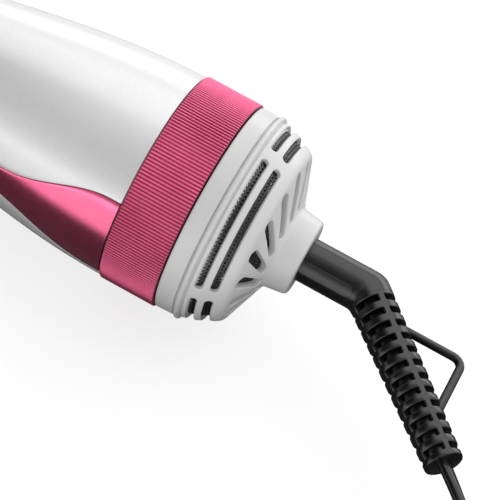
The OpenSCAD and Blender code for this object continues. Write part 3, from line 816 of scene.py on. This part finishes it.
GRILLE_LINE = [
    (30.8, 25.75), (30.35, 27.4), (29.7, 29.4), (28.95, 31.1), (27.95, 33.1), (27.3, 34.5),
    (26.6, 35.5), (25.9, 36.1), (24.6, 36.59), (18.45, 38.9), (12.3, 41.2),
]
CONE_SLOTS = 16
CONE_PITCH = 360 / CONE_SLOTS
CONE_SLOT_W = (3.9, 2.6)
SLOT_OUTER_R = 24.6
SLOT_INNER_R = 13.6
SLOT_SWIRL = 25.0
FIRST_SLOT = 10.0
FLANK_ROWS = ((26.8, 29.05), (30.9, 33.1))
FLANK_SLOTS = 4
FLANK_PITCH = 360 / FLANK_SLOTS
BRIDGE = 8.0
MEAN_R = 27
U_SCALE = math.radians(1) * MEAN_R
WALL_STEP = 1.4
SKIN = 1.4
CONE_SKIN = 2.1
SHOULDER_S = (8.6, 11.6)


class Line:
    """A smooth outline in (radius, x), measured along its length, that can be offset inward."""

    BLUR = 1.2

    def __init__(self, corners):
        self.points = np.array(smooth_line(corners, 16))
        steps = np.linalg.norm(np.diff(self.points, axis=0), axis=1)
        self.along = np.concatenate([[0], np.cumsum(steps)])
        self.length = self.along[-1]

    def at(self, s):
        return np.array([np.interp(s, self.along, self.points[:, i]) for i in (0, 1)])

    def offset(self, s, depth):
        ahead = self.at(min(s + self.BLUR, self.length)) - self.at(max(s - self.BLUR, 0))
        ahead /= np.linalg.norm(ahead)
        return self.at(s) + depth * np.array([-ahead[1], ahead[0]])

    def s_of_x(self, x):
        return float(np.interp(x, self.points[:, 1], self.along))

    def s_of_r(self, r):
        return float(np.interp(-r, -self.points[:, 0], self.along))


GRILLE = Line(GRILLE_LINE)


def swirl(s):
    r = GRILLE.at(s)[0]
    return SLOT_SWIRL * min(1.0, max(0.0, (SLOT_OUTER_R - r) / (SLOT_OUTER_R - SLOT_INNER_R)))


def grille_point(u, s, depth):
    """u is the angle in degrees before the swirl, times the scale below."""
    on_cone = ease((s - SHOULDER_S[0]) / (SHOULDER_S[1] - SHOULDER_S[0]))
    r, x = GRILLE.offset(s, depth + (CONE_SKIN - SKIN) * on_cone * ease(depth / SKIN))
    return round_the_axis(r, x, u / U_SCALE + swirl(s))


def stadium(start, end, start_half, end_half, steps=10):
    """A slot with round ends between two points of the plane, as a closed outline."""
    a, b = np.array(start, float), np.array(end, float)
    ahead = (b - a) / np.linalg.norm(b - a)
    side = np.array([-ahead[1], ahead[0]])
    made = []
    for centre, half, way in ((b, end_half, 1), (a, start_half, -1)):
        for k in range(steps + 1):
            t = math.pi * (k / steps - 0.5)
            made.append(centre + way * (ahead * math.cos(t) + side * math.sin(t)) * half)
        nxt, next_half = (a, start_half) if way == 1 else (b, end_half)
        last = made[-1]
        target = nxt + way * side * next_half
        run = int(np.linalg.norm(target - last) / WALL_STEP)
        made += [last + (target - last) * k / (run + 1) for k in range(1, run + 1)]
    return made


def flank_slot(row, index, grow):
    low, high = (GRILLE.s_of_x(x) for x in FLANK_ROWS[row])
    middle = (low + high) / 2
    half = (high - low) / 2
    first = (index * FLANK_PITCH + BRIDGE / 2) * U_SCALE + half
    last = ((index + 1) * FLANK_PITCH - BRIDGE / 2) * U_SCALE - half
    return [tuple(p) for p in stadium((first, middle), (last, middle), half + grow, half + grow)]


def cone_slot(index, grow):
    base = FIRST_SLOT + index * CONE_PITCH
    angle = math.radians(base)
    far = angle + math.radians(SLOT_SWIRL)
    outer = SLOT_OUTER_R * np.array([math.sin(angle), math.cos(angle)])
    inner = SLOT_INNER_R * np.array([math.sin(far), math.cos(far)])
    ahead = (inner - outer) / np.linalg.norm(inner - outer)
    wide, slim = (width / 2 for width in CONE_SLOT_W)
    made = []
    for p in stadium(outer + ahead * wide, inner - ahead * slim, wide + grow, slim + grow):
        s = GRILLE.s_of_r(np.linalg.norm(p))
        turn = math.degrees(math.atan2(p[0], p[1])) - swirl(s)
        turn = base + (turn - base + 180) % 360 - 180
        made.append((turn * U_SCALE, s))
    return made


def inside(points, outline):
    """Which of the points lie inside a closed outline."""
    x, y = np.array(points, float).T
    found = np.zeros(len(x), bool)
    for (ax, ay), (bx, by) in zip(outline, outline[1:] + outline[:1]):
        crosses = (ay > y) != (by > y)
        slope = np.where(crosses, (bx - ax) * (y - ay) / ((by - ay) or 1e-12) + ax, 0)
        found ^= crosses & (x < slope)
    return found


def outside(points, outlines):
    """Which of the points lie outside every outline."""
    found = np.ones(len(points), bool)
    for outline in outlines:
        low, high = np.min(outline, axis=0), np.max(outline, axis=0)
        near = ((points > low) & (points < high)).all(axis=1)
        found[near] &= ~inside(points[near], [tuple(p) for p in outline])
    return found


EDGE_CURVE = ((1, 0), (0.4, 0.13), (0.08, 0.5), (0, 1))


def perforated(solid, border, holes, grid, to_point, depth, lip=0.3, wrap=False):
    """A skin with holes. border and each hole are functions of grow that give an outline."""
    loops = [border(0 if wrap else -lip)] + [h(lip) for h in holes]
    points = []
    edges = []
    for loop in loops:
        start = len(points)
        points += [Vector(p) for p in loop]
        edges += [(start + k, start + (k + 1) % len(loop)) for k in range(len(loop))]
    free = np.array(grid)
    keep = inside(free, [tuple(p) for p in border(-lip - 0.35)])
    keep &= outside(free, [h(lip + 0.3) for h in holes])
    points += [Vector(p) for p in free[keep]]
    flat, _, faces, _, _, _ = delaunay_2d_cdt(points, edges, [], 0, 1e-7)
    middles = np.array([np.mean([flat[i] for i in f], axis=0) for f in faces])
    good = inside(middles, [tuple(p) for p in loops[0]]) & outside(middles, loops[1:])
    faces = [f for f, ok in zip(faces, good) if ok]
    for level, order in ((0.0, 1), (depth, -1)):
        solid.add([to_point(p[0], p[1], level) for p in flat], [tuple(f[::order]) for f in faces])
    walls = [(h, 1) for h in holes] + ([] if wrap else [(border, -1)])
    levels = [(lip * share, lip * deep) for share, deep in EDGE_CURVE] + [(0, depth), (lip, depth)]
    for outline, sign in walls:
        rings = [[to_point(p[0], p[1], d) for p in outline(sign * g)] for g, d in levels]
        count = len(rings[0])
        skin = [(i * count + k, i * count + (k + 1) % count, (i + 1) * count + (k + 1) % count,
                 (i + 1) * count + k) for i in range(len(rings) - 1) for k in range(count)]
        solid.add([p for ring in rings for p in ring], skin)


GRILLE_LEFT = -1.25 * U_SCALE
GRILLE_WIDTH = 360 * U_SCALE
GRILLE_COLUMNS = 240
GRILLE_ROWS = 26


def make_grille():
    across = [GRILLE_LEFT + GRILLE_WIDTH * i / GRILLE_COLUMNS for i in range(GRILLE_COLUMNS + 1)]
    levels = [GRILLE.length * j / GRILLE_ROWS for j in range(GRILLE_ROWS + 1)]

    def border(grow):
        inset = min(grow, 0)
        bottom = [(u, levels[0] - inset) for u in across]
        side = [(across[-1] + inset, s) for s in levels[1:-1]]
        top = [(u, levels[-1] + inset) for u in reversed(across)]
        other = [(across[0] - inset, s) for s in reversed(levels[1:-1])]
        return bottom + side + top + other

    holes = [lambda g, r=r, i=i: flank_slot(r, i, g) for r in (0, 1) for i in range(FLANK_SLOTS)]
    holes += [lambda g, i=i: cone_slot(i, g) for i in range(CONE_SLOTS)]
    grid = [(GRILLE_LEFT + GRILLE_WIDTH * (i + 0.5 * (j % 2)) / GRILLE_COLUMNS, levels[j])
            for j in range(1, GRILLE_ROWS) for i in range(1, GRILLE_COLUMNS)]
    grille = Solid()
    perforated(grille, border, holes, grid, grille_point, SKIN, wrap=True)
    for s in (0, GRILLE.length):
        rim = [[grille_point(u, s, d) for d in (0, SKIN)] for u in across]
        for a, b in zip(rim, rim[1:]):
            grille.add([*a, *b], [(0, 1, 3, 2)])
    hub = [(6.62, 48.2, 0.25), (10.75, 48.2, 0.9), (11.42, 47.4, 0.7), (11.62, 46.4, 0.5)]
    foot = [(12.25, 41.55, 0.5), (13.2, 40.6, 0.1), (12.6, 38.6, 0.3), (9.4, 38.2, 0.3), (9.4, 37.9, 0),
            (6.62, 37.9, 0)]
    grille.lathe(rounded(hub + foot, 5), 120)
    grille.lathe([(26.98, 25.9), (26.98, 20), (25.6, 20), (25.6, 26.6), (28.5, 27.2), (29.6, 26.2)], 120)
    grille.piece("intake_grille_skin", "housing", "tail_white", "pearl_white",
                 replaces=("intake_grille",), sharp=38)


FILTER_THICK = 0.3
FILTER_ZONES = ((0.4, 9.0, 1.5, 150, 0.98), (10.2, 24.6, 2.2, 100, 1.2))
MESH_HOLE = 0.34


def perforated_cell(sheet, depth, u0, s0, step, pitch):
    """One cell of the perforated sheet, with an eight-sided hole in it."""
    square = ((0, 0), (0.5, 0), (1, 0), (1, 0.5), (1, 1), (0.5, 1), (0, 1), (0, 0.5))
    turns = [math.radians(225 + 45 * k) for k in range(8)]
    hole = [(0.5 + MESH_HOLE * math.cos(a), 0.5 + MESH_HOLE * math.sin(a)) for a in turns]
    points = []
    for outline, deep in ((square, 0.06), (hole, 0), (hole, FILTER_THICK), (square, FILTER_THICK)):
        points += [round_the_axis(*GRILLE.offset(s0 + pitch * b, depth + deep), u0 + step * a)
                   for a, b in outline]
    faces = [(r * 8 + k, r * 8 + (k + 1) % 8, (r + 1) * 8 + (k + 1) % 8, (r + 1) * 8 + k)
             for r in range(3) for k in range(8)]
    sheet.add(points, faces)


def make_filter():
    """A thin perforated sheet close behind the grille, with every hole open."""
    sheet = Solid()
    for low, high, depth, columns, pitch in FILTER_ZONES:
        step = 360 / columns
        rows = round((high - low) / pitch)
        for j in range(rows):
            for i in range(columns):
                u = (i + 0.5 * (j % 2)) * step
                perforated_cell(sheet, depth, u, low + j * pitch, step, (high - low) / rows)
    sheet.piece("intake_filter_mesh", "housing", "filter_mesh", replaces=("intake_filter",), sharp=50)


# ---- swivel ----

STUB_R = 6.55
STUB_START = 37.6
STUB_SIDES = 96
ARM_LEN = 3.6
ARM_SIDE = np.array([math.sin(ELBOW), math.cos(ELBOW), 0])
PAD_ANGLE = math.radians(62)
PAD_HALF = 1.85
PAD_START = 40.0
PAD_END = 64.4
PAD_LEVELS = ((5.9, 1.0), (6.62, 1.0), (6.72, 0.97), (6.76, 0.9))
FLANGE = [(3.05, 35.95, 0.1), (9.2, 35.95, 0.2), (9.2, 37.65, 0.2), (3.05, 37.65, 0.1)]


def elbow_line(angle):
    """A line along the bent sleeve at an angle round it, with its corner rounded."""
    a = math.radians(angle)
    y, z = -STUB_R * math.sin(a), STUB_R * math.cos(a)
    corner = np.array([ELBOW_X + y * math.tan(ELBOW / 2), y, z])
    fillet = 3.5 + 2.2 * (1 + y / STUB_R) / 2
    reach = fillet * math.tan(ELBOW / 2)
    made = [np.array([STUB_START + (corner[0] - reach - STUB_START) * k / 10, y, z]) for k in range(10)]
    first, last = corner - np.array([reach, 0, 0]), corner + ARM * reach
    for k in range(9):
        t = k / 8
        made.append((1 - t) ** 2 * first + 2 * t * (1 - t) * corner + t * t * last)
    end = np.array([ELBOW_X, 0, z]) + ARM * ARM_LEN + ARM_SIDE * y
    made += [last + (end - last) * k / 2 for k in (1, 2)]
    return made


def make_sleeve():
    sleeve = Solid()
    lines = [elbow_line(360 * k / STUB_SIDES) for k in range(STUB_SIDES)]
    sleeve.loft(list(zip(*lines)))
    sleeve.lathe(rounded(FLANGE, 3), 72)
    pad = [(PAD_START, -PAD_HALF)]
    for k in range(13):
        t = math.radians(-90 + 180 * k / 12)
        pad.append((PAD_END - PAD_HALF + PAD_HALF * math.cos(t), PAD_HALF * math.sin(t)))
    pad.append((PAD_START, PAD_HALF))
    out = np.array([0, -math.sin(PAD_ANGLE), math.cos(PAD_ANGLE)])
    over = np.array([0, math.cos(PAD_ANGLE), math.sin(PAD_ANGLE)])
    rings = []
    for height, shrink in PAD_LEVELS:
        ring = []
        for x, w in pad:
            px = x if x == PAD_START else x - (1 - shrink) * PAD_HALF
            ring.append(np.array([px, 0, 0]) + out * height + over * w * shrink)
        rings.append(ring)
    sleeve.loft(rings)
    sleeve.piece("swivel_sleeve_skin", "swivel", "black_elastomer", replaces=("swivel_sleeve",), sharp=40)


BOOT_START = 3.6
BOOT_END = 56.5
BOOT_ROOT_R = 6.5
BOOT_TIP_R = 5.45
BOOT_CORE_R = 3.8
BOOT_SLOTS = 12
SLOT_FROM = 4.9
SLOT_PITCH = 4.35
SLOT_W = 1.9
SPINE_HALF = 0.95
SPINES = 4
SPINE_R = 5.9
EDGE_STEPS = ((0.0, 0.0), (0.02, 0.8), (0.1, 0.93), (0.28, 1.0))


def boot_levels():
    """Places along the strain relief with how far each stands out from the core, 0 to 1."""
    made = [(BOOT_START, 1.0), (BOOT_START + 0.3, 1.0)]
    for i in range(BOOT_SLOTS):
        low = SLOT_FROM + i * SLOT_PITCH
        high = low + SLOT_W
        made += [(low - d, share) for d, share in reversed(EDGE_STEPS)]
        made += [(low + 0.2, 0.0), (high - 0.2, 0.0)]
        made += [(high + d, share) for d, share in EDGE_STEPS]
        made.append((high + (SLOT_PITCH - SLOT_W) / 2, 1.0))
    made = [m for m in made if m[0] < BOOT_END - 0.5]
    return made + [(BOOT_END - 0.45, 1.0), (BOOT_END - 0.12, 0.94), (BOOT_END, 0.8)]


def boot_angles():
    """Angles round the strain relief with how far each stands out between the slots."""
    made = []
    edge = math.degrees(SPINE_HALF / SPINE_R)
    spread = [(math.degrees((SPINE_HALF - d) / SPINE_R), share) for d, share in EDGE_STEPS]
    for spine in range(SPINES):
        middle = spine * 90.0
        made += [(middle - a, share) for a, share in spread]
        made += [(middle + a, share) for a, share in reversed(spread)]
        made += [(middle + edge + 0.6 + (88.8 - 2 * edge) * k / 9, 0.0) for k in range(10)]
    return made


def make_boot():
    rings = []
    for along, disc in boot_levels():
        t = (along - BOOT_START) / (BOOT_END - BOOT_START)
        deep = BOOT_ROOT_R + (BOOT_TIP_R - BOOT_ROOT_R) * t - BOOT_CORE_R
        centre = np.array([ELBOW_X, 0, 0]) + ARM * along
        at_end = along < BOOT_START + 0.31 or along > BOOT_END - 0.46
        ring = []
        for angle, spine in boot_angles():
            share = disc if at_end else 1 - (1 - disc) * (1 - spine)
            _, y, z = round_the_axis(BOOT_CORE_R + deep * share, 0, angle)
            ring.append(centre + ARM_SIDE * y + np.array([0, 0, z]))
        rings.append(ring)
    Solid().loft(rings).piece("cord_boot_ribbed", "swivel", "black_elastomer",
                              replaces=("cord_boot",), sharp=42)


LOOP_R = 1.25
LOOP_Y = -5.5
LOOP_X = 100.1
LOOP_START_X = 81.6
LOOP_END_Y = -24.7
LOOP_BEND = 3.2


def make_loop():
    bend = []
    for k in range(13):
        a = math.pi / 2 * k / 12
        bend.append((LOOP_X - LOOP_BEND + LOOP_BEND * math.sin(a),
                     LOOP_Y - LOOP_BEND + LOOP_BEND * math.cos(a), 0))
    path = [(LOOP_START_X, LOOP_Y, 0), (90, LOOP_Y, 0), *bend, (LOOP_X, -16, 0), (LOOP_X, LOOP_END_Y, 0)]
    loop = Solid().loft(sweep(path, circle(LOOP_R, 24)))
    loop.piece("hanging_loop_bar", "swivel", "black_elastomer", replaces=("hanging_loop",), sharp=50)


# ---- brush head ----

NECK_X = -HANDLE_LEN
BARREL_X1 = NECK_X - 18
BARREL_X0 = BARREL_X1 - 108
OVAL_W = 31.0
OVAL_T = 19.5
OVAL_POWER = 2.5
BASE_R = 21.2
BASE_STEPS = 28
CAP_LENGTH = 15.98
CAP_STEPS = 39
PIN_ROWS = (-18, -9, 0, 9, 18)
STRIP_W = 3.0
STRIP_X0 = BARREL_X0 + 2
STRIP_X1 = BARREL_X1 - 2
PINS_PER_ROW = 14
PLATE_HALF = 23.0


def oval_ring(x, grow, round_share=0.0, radius=BASE_R):
    """A ring of the head's outline, which can go part of the way to a circle."""
    power = 2 / OVAL_POWER
    flat = oval(OVAL_W + grow, OVAL_T + grow, power, power, 96)
    return [(x, y + (a - y) * round_share, z + (b - z) * round_share)
            for (y, z), (a, b) in zip(flat, oval(radius, radius, 1, 1, 96))]


def oval_height(y, grow=0.0):
    inner = 1 - (abs(y) / (OVAL_W + grow)) ** OVAL_POWER
    return (OVAL_T + grow) * max(inner, 0.0) ** (1 / OVAL_POWER)


def make_head_base():
    collar = Solid()
    corners = ((19.4, -4.5, 0), (21.7, -4.5, 0.4), (21.9, -3.6, 0.5), (21.9, -0.8, 0.5), (21.6, -0.02, 0.3),
               (19.4, -0.02, 0))
    collar.lathe(rounded([(r, NECK_X + x, fillet) for r, x, fillet in corners], 4), 120)
    collar.piece("neck_collar_skin", "housing", "pink_metallic", replaces=("neck_collar",), sharp=45)
    start, end = NECK_X - 4.52, BARREL_X1 + 0.02
    rings = []
    for k in range(BASE_STEPS + 1):
        t = k / BASE_STEPS
        lip = 0.35 * (1 - min(1, t / 0.03)) + 0.3 * max(0, (t - 0.97) / 0.03)
        rings.append(oval_ring(start + (end - start) * t, 0.15 - lip, 1 - ease(t * 1.02), BASE_R - lip))
    base = Solid().loft(rings)
    base.piece("head_base_skin", "housing", "black_moulding", replaces=("head_base",), sharp=45)


def make_end_cap():
    rings = []
    for k in range(CAP_STEPS + 1):
        t = k / CAP_STEPS
        bulge = math.sqrt(max(0.0, 1 - t ** 2.6))
        groove = 0.98 if 0.24 < t < 0.3 else 1
        width = (0.42 + 0.58 * bulge) * groove
        height = (0.3 + 0.7 * bulge) * groove
        ring = oval_ring(BARREL_X0 - 0.02 - CAP_LENGTH * t, 0.2)
        rings.append([(x, y * width, z * height) for x, y, z in ring])
    cap = Solid().loft(rings)
    cap.piece("end_cap_skin", "housing", "pink_metallic", replaces=("end_cap",), sharp=45)


def slot_outline(x0, x1, y, half):
    """A long opening with small round corners, as a function of grow."""

    def outline(grow):
        left, right, low, high = x0 - grow, x1 + grow, y - half - grow, y + half + grow
        box = rounded([(left, low, 0.8), (right, low, 0.8), (right, high, 0.8), (left, high, 0.8)], 3)
        made = []
        for a, b in zip(box, box[1:] + box[:1]):
            run = int(math.dist(a, b) / 2.5) + 1
            made += [(a[0] + (b[0] - a[0]) * k / run, a[1] + (b[1] - a[1]) * k / run) for k in range(run)]
        return made

    return outline


VENT_ROWS = (-13.5, -4.5, 4.5, 13.5)
VENTS_PER_ROW = 6
VENT_HALF_L = 5.5
VENT_HALF_W = 1.4
PLATE_THICK = 0.95
PLATE_COLUMNS = 50
PLATE_ROWS = 34


def plate_holes():
    holes = [slot_outline(STRIP_X0, STRIP_X1, y, STRIP_W / 2 + 0.05) for y in PIN_ROWS]
    pitch = (BARREL_X1 - BARREL_X0 - 8) / VENTS_PER_ROW
    for y in VENT_ROWS:
        for i in range(VENTS_PER_ROW):
            middle = BARREL_X0 + 4 + (i + 0.5) * pitch
            holes.append(slot_outline(middle - VENT_HALF_L, middle + VENT_HALF_L, y, VENT_HALF_W))
    return holes


def make_plates():
    left, right = STRIP_X0 - 1, STRIP_X1 + 1
    border = slot_outline(left, right, 0, PLATE_HALF)
    grid = [(left + (right - left) * i / PLATE_COLUMNS, PLATE_HALF * (2 * j / PLATE_ROWS - 1))
            for i in range(PLATE_COLUMNS + 1) for j in range(PLATE_ROWS + 1)]
    for name, side in (("upper_plate", 1), ("lower_plate", -1)):

        def to_point(x, y, depth, side=side):
            return (x, y, side * oval_height(y, -depth))

        plate = Solid()
        perforated(plate, border, plate_holes(), grid, to_point, PLATE_THICK, 0.25)
        plate.piece(name + "_skin", "housing", "pink_ceramic", replaces=(name,), sharp=38)


PIN_REACH = 32.0
PIN_FROM = STRIP_X0 + 3
PIN_SPAN = STRIP_X1 - STRIP_X0 - 6


def make_pins():
    ends = ((STRIP_X0 + 0.05, 0.9), (STRIP_X0 + 0.35, 1), (STRIP_X1 - 0.35, 1), (STRIP_X1 - 0.05, 0.9))
    half = STRIP_W / 2
    ball = [(math.sin(math.pi * k / 8), -1.0 - math.cos(math.pi * k / 8)) for k in range(2, 8)]
    for name, side in (("upper_pins", 1), ("lower_pins", -1)):
        comb = Solid()
        for y in PIN_ROWS:
            top = oval_height(y) + 0.3
            reach = PIN_REACH - (1.5 if abs(y) > 10 else 0)
            bar = rounded([(-half, -3.4, 0.1), (half, -3.4, 0.1), (half, 0, 0.9), (-half, 0, 0.9)], 5)
            comb.loft([[(x, y + w * share, side * (top + z * share)) for w, z in bar] for x, share in ends])
            profile = [(1.25, top - 0.3), (1.02, top + 0.35), (0.92, top + 1.2)]
            profile += [(0.8, reach - 2.6), (0.78, reach - 1.9)]
            profile += [(r, reach + z) for r, z in ball] + [(0.12, reach)]
            for i in range(PINS_PER_ROW):
                x = PIN_FROM + i * PIN_SPAN / (PINS_PER_ROW - 1)
                comb.loft([[(x + a, y + b, side * z) for a, b in circle(r, 12)] for r, z in profile])
        comb.piece(name + "_comb", "housing", "nylon_pin", replaces=(name,), sharp=45)


TUFT_ROWS = (-5, 0, 5)
TUFTS_PER_ROW = 14
TUFT_REACH = 47.3
TUFT_ROOT_Y = OVAL_W - 0.95
TUFT_TOP_Y = TUFT_ROOT_Y + 1.6
TUFT_BAR_HALF = 7.2
HAIRS_PER_TUFT = 16
HAIR_STEPS = 4
HAIR_R = 0.13
BOW = 0.2


def hair(solid, root, tip, bow):
    shares = [k / HAIR_STEPS for k in range(HAIR_STEPS + 1)]
    path = [root + (tip - root) * t + bow * math.sin(math.pi * t) for t in shares]
    solid.loft(sweep(path, circle(HAIR_R, 5)))


def make_bristles():
    chance = random.Random(11)
    low, high, half = TUFT_ROOT_Y, TUFT_TOP_Y, TUFT_BAR_HALF
    bar = rounded([(low, -half, 0.3), (high, -half, 0.8), (high, half, 0.8), (low, half, 0.3)], 5)
    socket = ((1.6, -0.2), (1.6, 0.25), (1.36, 0.42), (1.28, 0.42))
    for name, side in (("left_bristles", -1), ("right_bristles", 1)):
        base = Solid()
        tufts = Solid()
        base.loft([[(x, side * y, z) for y, z in bar] for x in (STRIP_X0, STRIP_X1)])
        for z in TUFT_ROWS:
            for i in range(TUFTS_PER_ROW):
                x = PIN_FROM + i * PIN_SPAN / (TUFTS_PER_ROW - 1)
                base.loft([[(x + a, side * (high + h), z + b) for a, b in circle(r, 16)]
                           for r, h in socket])
                for _ in range(HAIRS_PER_TUFT):
                    angle = chance.uniform(0, 2 * math.pi)
                    far = math.sqrt(chance.random())
                    ahead = np.array([far * math.cos(angle), 0, far * math.sin(angle)])
                    spread = 1.0 + 0.75 * chance.random()
                    reach = TUFT_REACH - abs(z) / 5 - chance.uniform(0, 1.1)
                    bow = np.array([chance.uniform(-BOW, BOW), 0, chance.uniform(-BOW, BOW)])
                    root = np.array([x, side * (high + 0.1), z]) + ahead
                    hair(tufts, root, np.array([x, side * reach, z]) + ahead * spread, bow)
        base.piece(name + "_base", "housing", "black_moulding", "bristle", replaces=(name,), sharp=45)
        tufts.piece(name + "_hairs", "housing", "bristle", sharp=80)


# ---- parts that keep their CAD shape ----

FINISHES = {
    "black_moulding": ["barrel", "rear_frame", "selector_carrier", "swivel_retainer", "slip_ring_core",
                       "motor_endbell", "shroud_gasket"],
    "steel": ["shell_screws", "motor_can", "motor_shaft", "thermostat", "thermal_fuse", "detent_spring"],
    "brass": ["switch_wiper", "switch_contacts", "contact_springs", "slip_rings", "commutator",
              "motor_bearings"],
    "circuit_board": ["switch_board", "rectifier_board"],
    "natural_nylon": ["contact_block", "fan_shroud", "fan_impeller"],
    "ferrite": ["motor_magnets"],
    "carbon": ["carbon_brushes"],
    "laminated_steel": ["armature"],
    "copper_winding": ["armature_coils"],
    "mica": ["heater_sleeve", "heater_frame"],
    "heater_wire": ["heater_coil"],
    "lead_sleeve": ["internal_leads"],
}


def finish_cad_nodes():
    for material, names in FINISHES.items():
        for name in names:
            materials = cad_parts[name].data.materials
            if not materials:
                materials.append(MATERIALS[material])
            for i in range(len(materials)):
                materials[i] = MATERIALS[material]


make_shells()
make_inlays()
make_selector()
make_tail_band()
make_grille()
make_filter()
make_sleeve()
make_boot()
make_loop()
make_head_base()
make_end_cap()
make_plates()
make_pins()
make_bristles()
finish_cad_nodes()


# ---- floor and light ----


DOME_LIGHT = 0.8
DARK_PATCHES = (
    ((0, -1, 1), (0.78, 0.97), DOME_LIGHT, 0.22),
    ((-0.93, -0.1, 0.36), (0.66, 0.9), 1.0, 0.05),
)
FLOOR_REACH = 6.0
FLOOR_SHADE = 0.32
FLOOR_GLOW = 0.78
LIGHT_AIM = (0.1, 0, 0.03)
CARD_SPAN = 0.3
# The dark strip under the handle is painted shade: in reflections it stands in for the floor's shadow
# beneath the object.
CARD_STRIPS = ((-0.098, 1.15), (-0.078, 0.06), (0.075, 0.06), (0.11, 0.75))


def mix_by_camera(tree, others, camera, output):
    """Shows one shader to the camera and another one to every other ray."""
    seen = add_node(tree, "LightPath").outputs["Is Camera Ray"]
    mix = add_node(tree, "MixShader", {"Fac": seen, 1: others, 2: camera})
    put(tree, tree.nodes[output].inputs["Surface"], mix.outputs["Shader"])


def make_floor():
    """A white floor. It lights the object like pale cards, with a dark strip of painted shade under the
    handle.
    """
    mesh = bpy.data.meshes.new("floor")
    corners = [(x * FLOOR_REACH, y * FLOOR_REACH, 0) for x, y in ((-1, -1), (1, -1), (1, 1), (-1, 1))]
    mesh.from_pydata(corners, [], [(0, 1, 2, 3)])
    paint = Finish("pale_floor", (FLOOR_SHADE, FLOOR_SHADE, FLOOR_SHADE), 0.8)
    paint.mottle(paint.noise(900, 2), 0.01)
    paint.set("Specular IOR Level", 0.0)
    paint.set("Emission Color", (1, 1, 1, 1))
    paint.set("Emission Strength", FLOOR_GLOW)
    across = paint.add("SeparateXYZ", {0: paint.where}).outputs["Y"]
    span = paint.add("MapRange", {"From Min": -CARD_SPAN, "From Max": CARD_SPAN, "Value": across})
    stops = [(0.5 + y / CARD_SPAN / 2, [light] * 3) for y, light in CARD_STRIPS]
    strips = add_ramp(paint.tree, span.outputs["Result"], stops)
    card = paint.add("Emission", {"Color": strips.outputs["Color"]})
    mix_by_camera(paint.tree, card.outputs["Emission"], paint.shader.outputs["BSDF"], "Material Output")
    paint.material.cycles.emission_sampling = "NONE"
    mesh.materials.append(paint.material)
    add_object("floor", mesh)


def area_light(name, place, size, power):
    data = bpy.data.lights.new(name, "AREA")
    data.shape = "RECTANGLE"
    data.size, data.size_y = size
    data.energy = power
    light = add_object(name, data)
    light.location = place
    light.rotation_mode = "QUATERNION"
    light.rotation_quaternion = (Vector(LIGHT_AIM) - Vector(place)).to_track_quat("-Z", "Y")


def make_world():
    """A white dome with two darker patches. Seen directly, it is plain white."""
    world = bpy.data.worlds.new("studio")
    world.use_nodes = True
    tree = world.node_tree
    toward = add_node(tree, "TexCoord").outputs["Generated"]
    shades = []
    for aim, edge, outside_light, inside_light in DARK_PATCHES:
        nearness = add_node(tree, "VectorMath", {0: toward, 1: Vector(aim).normalized()})
        nearness.operation = "DOT_PRODUCT"
        stops = list(zip(edge, ([outside_light] * 3, [inside_light] * 3)))
        patch = add_ramp(tree, nearness.outputs["Value"], stops)
        patch.color_ramp.interpolation = "EASE"
        shades.append(patch.outputs["Color"])
    both = add_node(tree, "MixRGB", {"Fac": 1.0, "Color1": shades[0], "Color2": shades[1]})
    both.blend_type = "MULTIPLY"
    dome = tree.nodes["Background"]
    put(tree, dome.inputs["Color"], both.outputs["Color"])
    plain = add_node(tree, "Background", {"Color": (1, 1, 1, 1)})
    mix_by_camera(tree, dome.outputs["Background"], plain.outputs["Background"], "World Output")
    bpy.context.scene.world = world
    bpy.context.scene.view_settings.view_transform = "Standard"


make_floor()
make_world()
area_light("over", (0.1, 0.42, 0.84), (1.6, 0.8), 3.4)
area_light("back", (0.1, 0.8, 0.24), (1.4, 0.3), 2.0)
area_light("front", (0.0, -0.7, 0.09), (1.2, 0.15), 0.6)
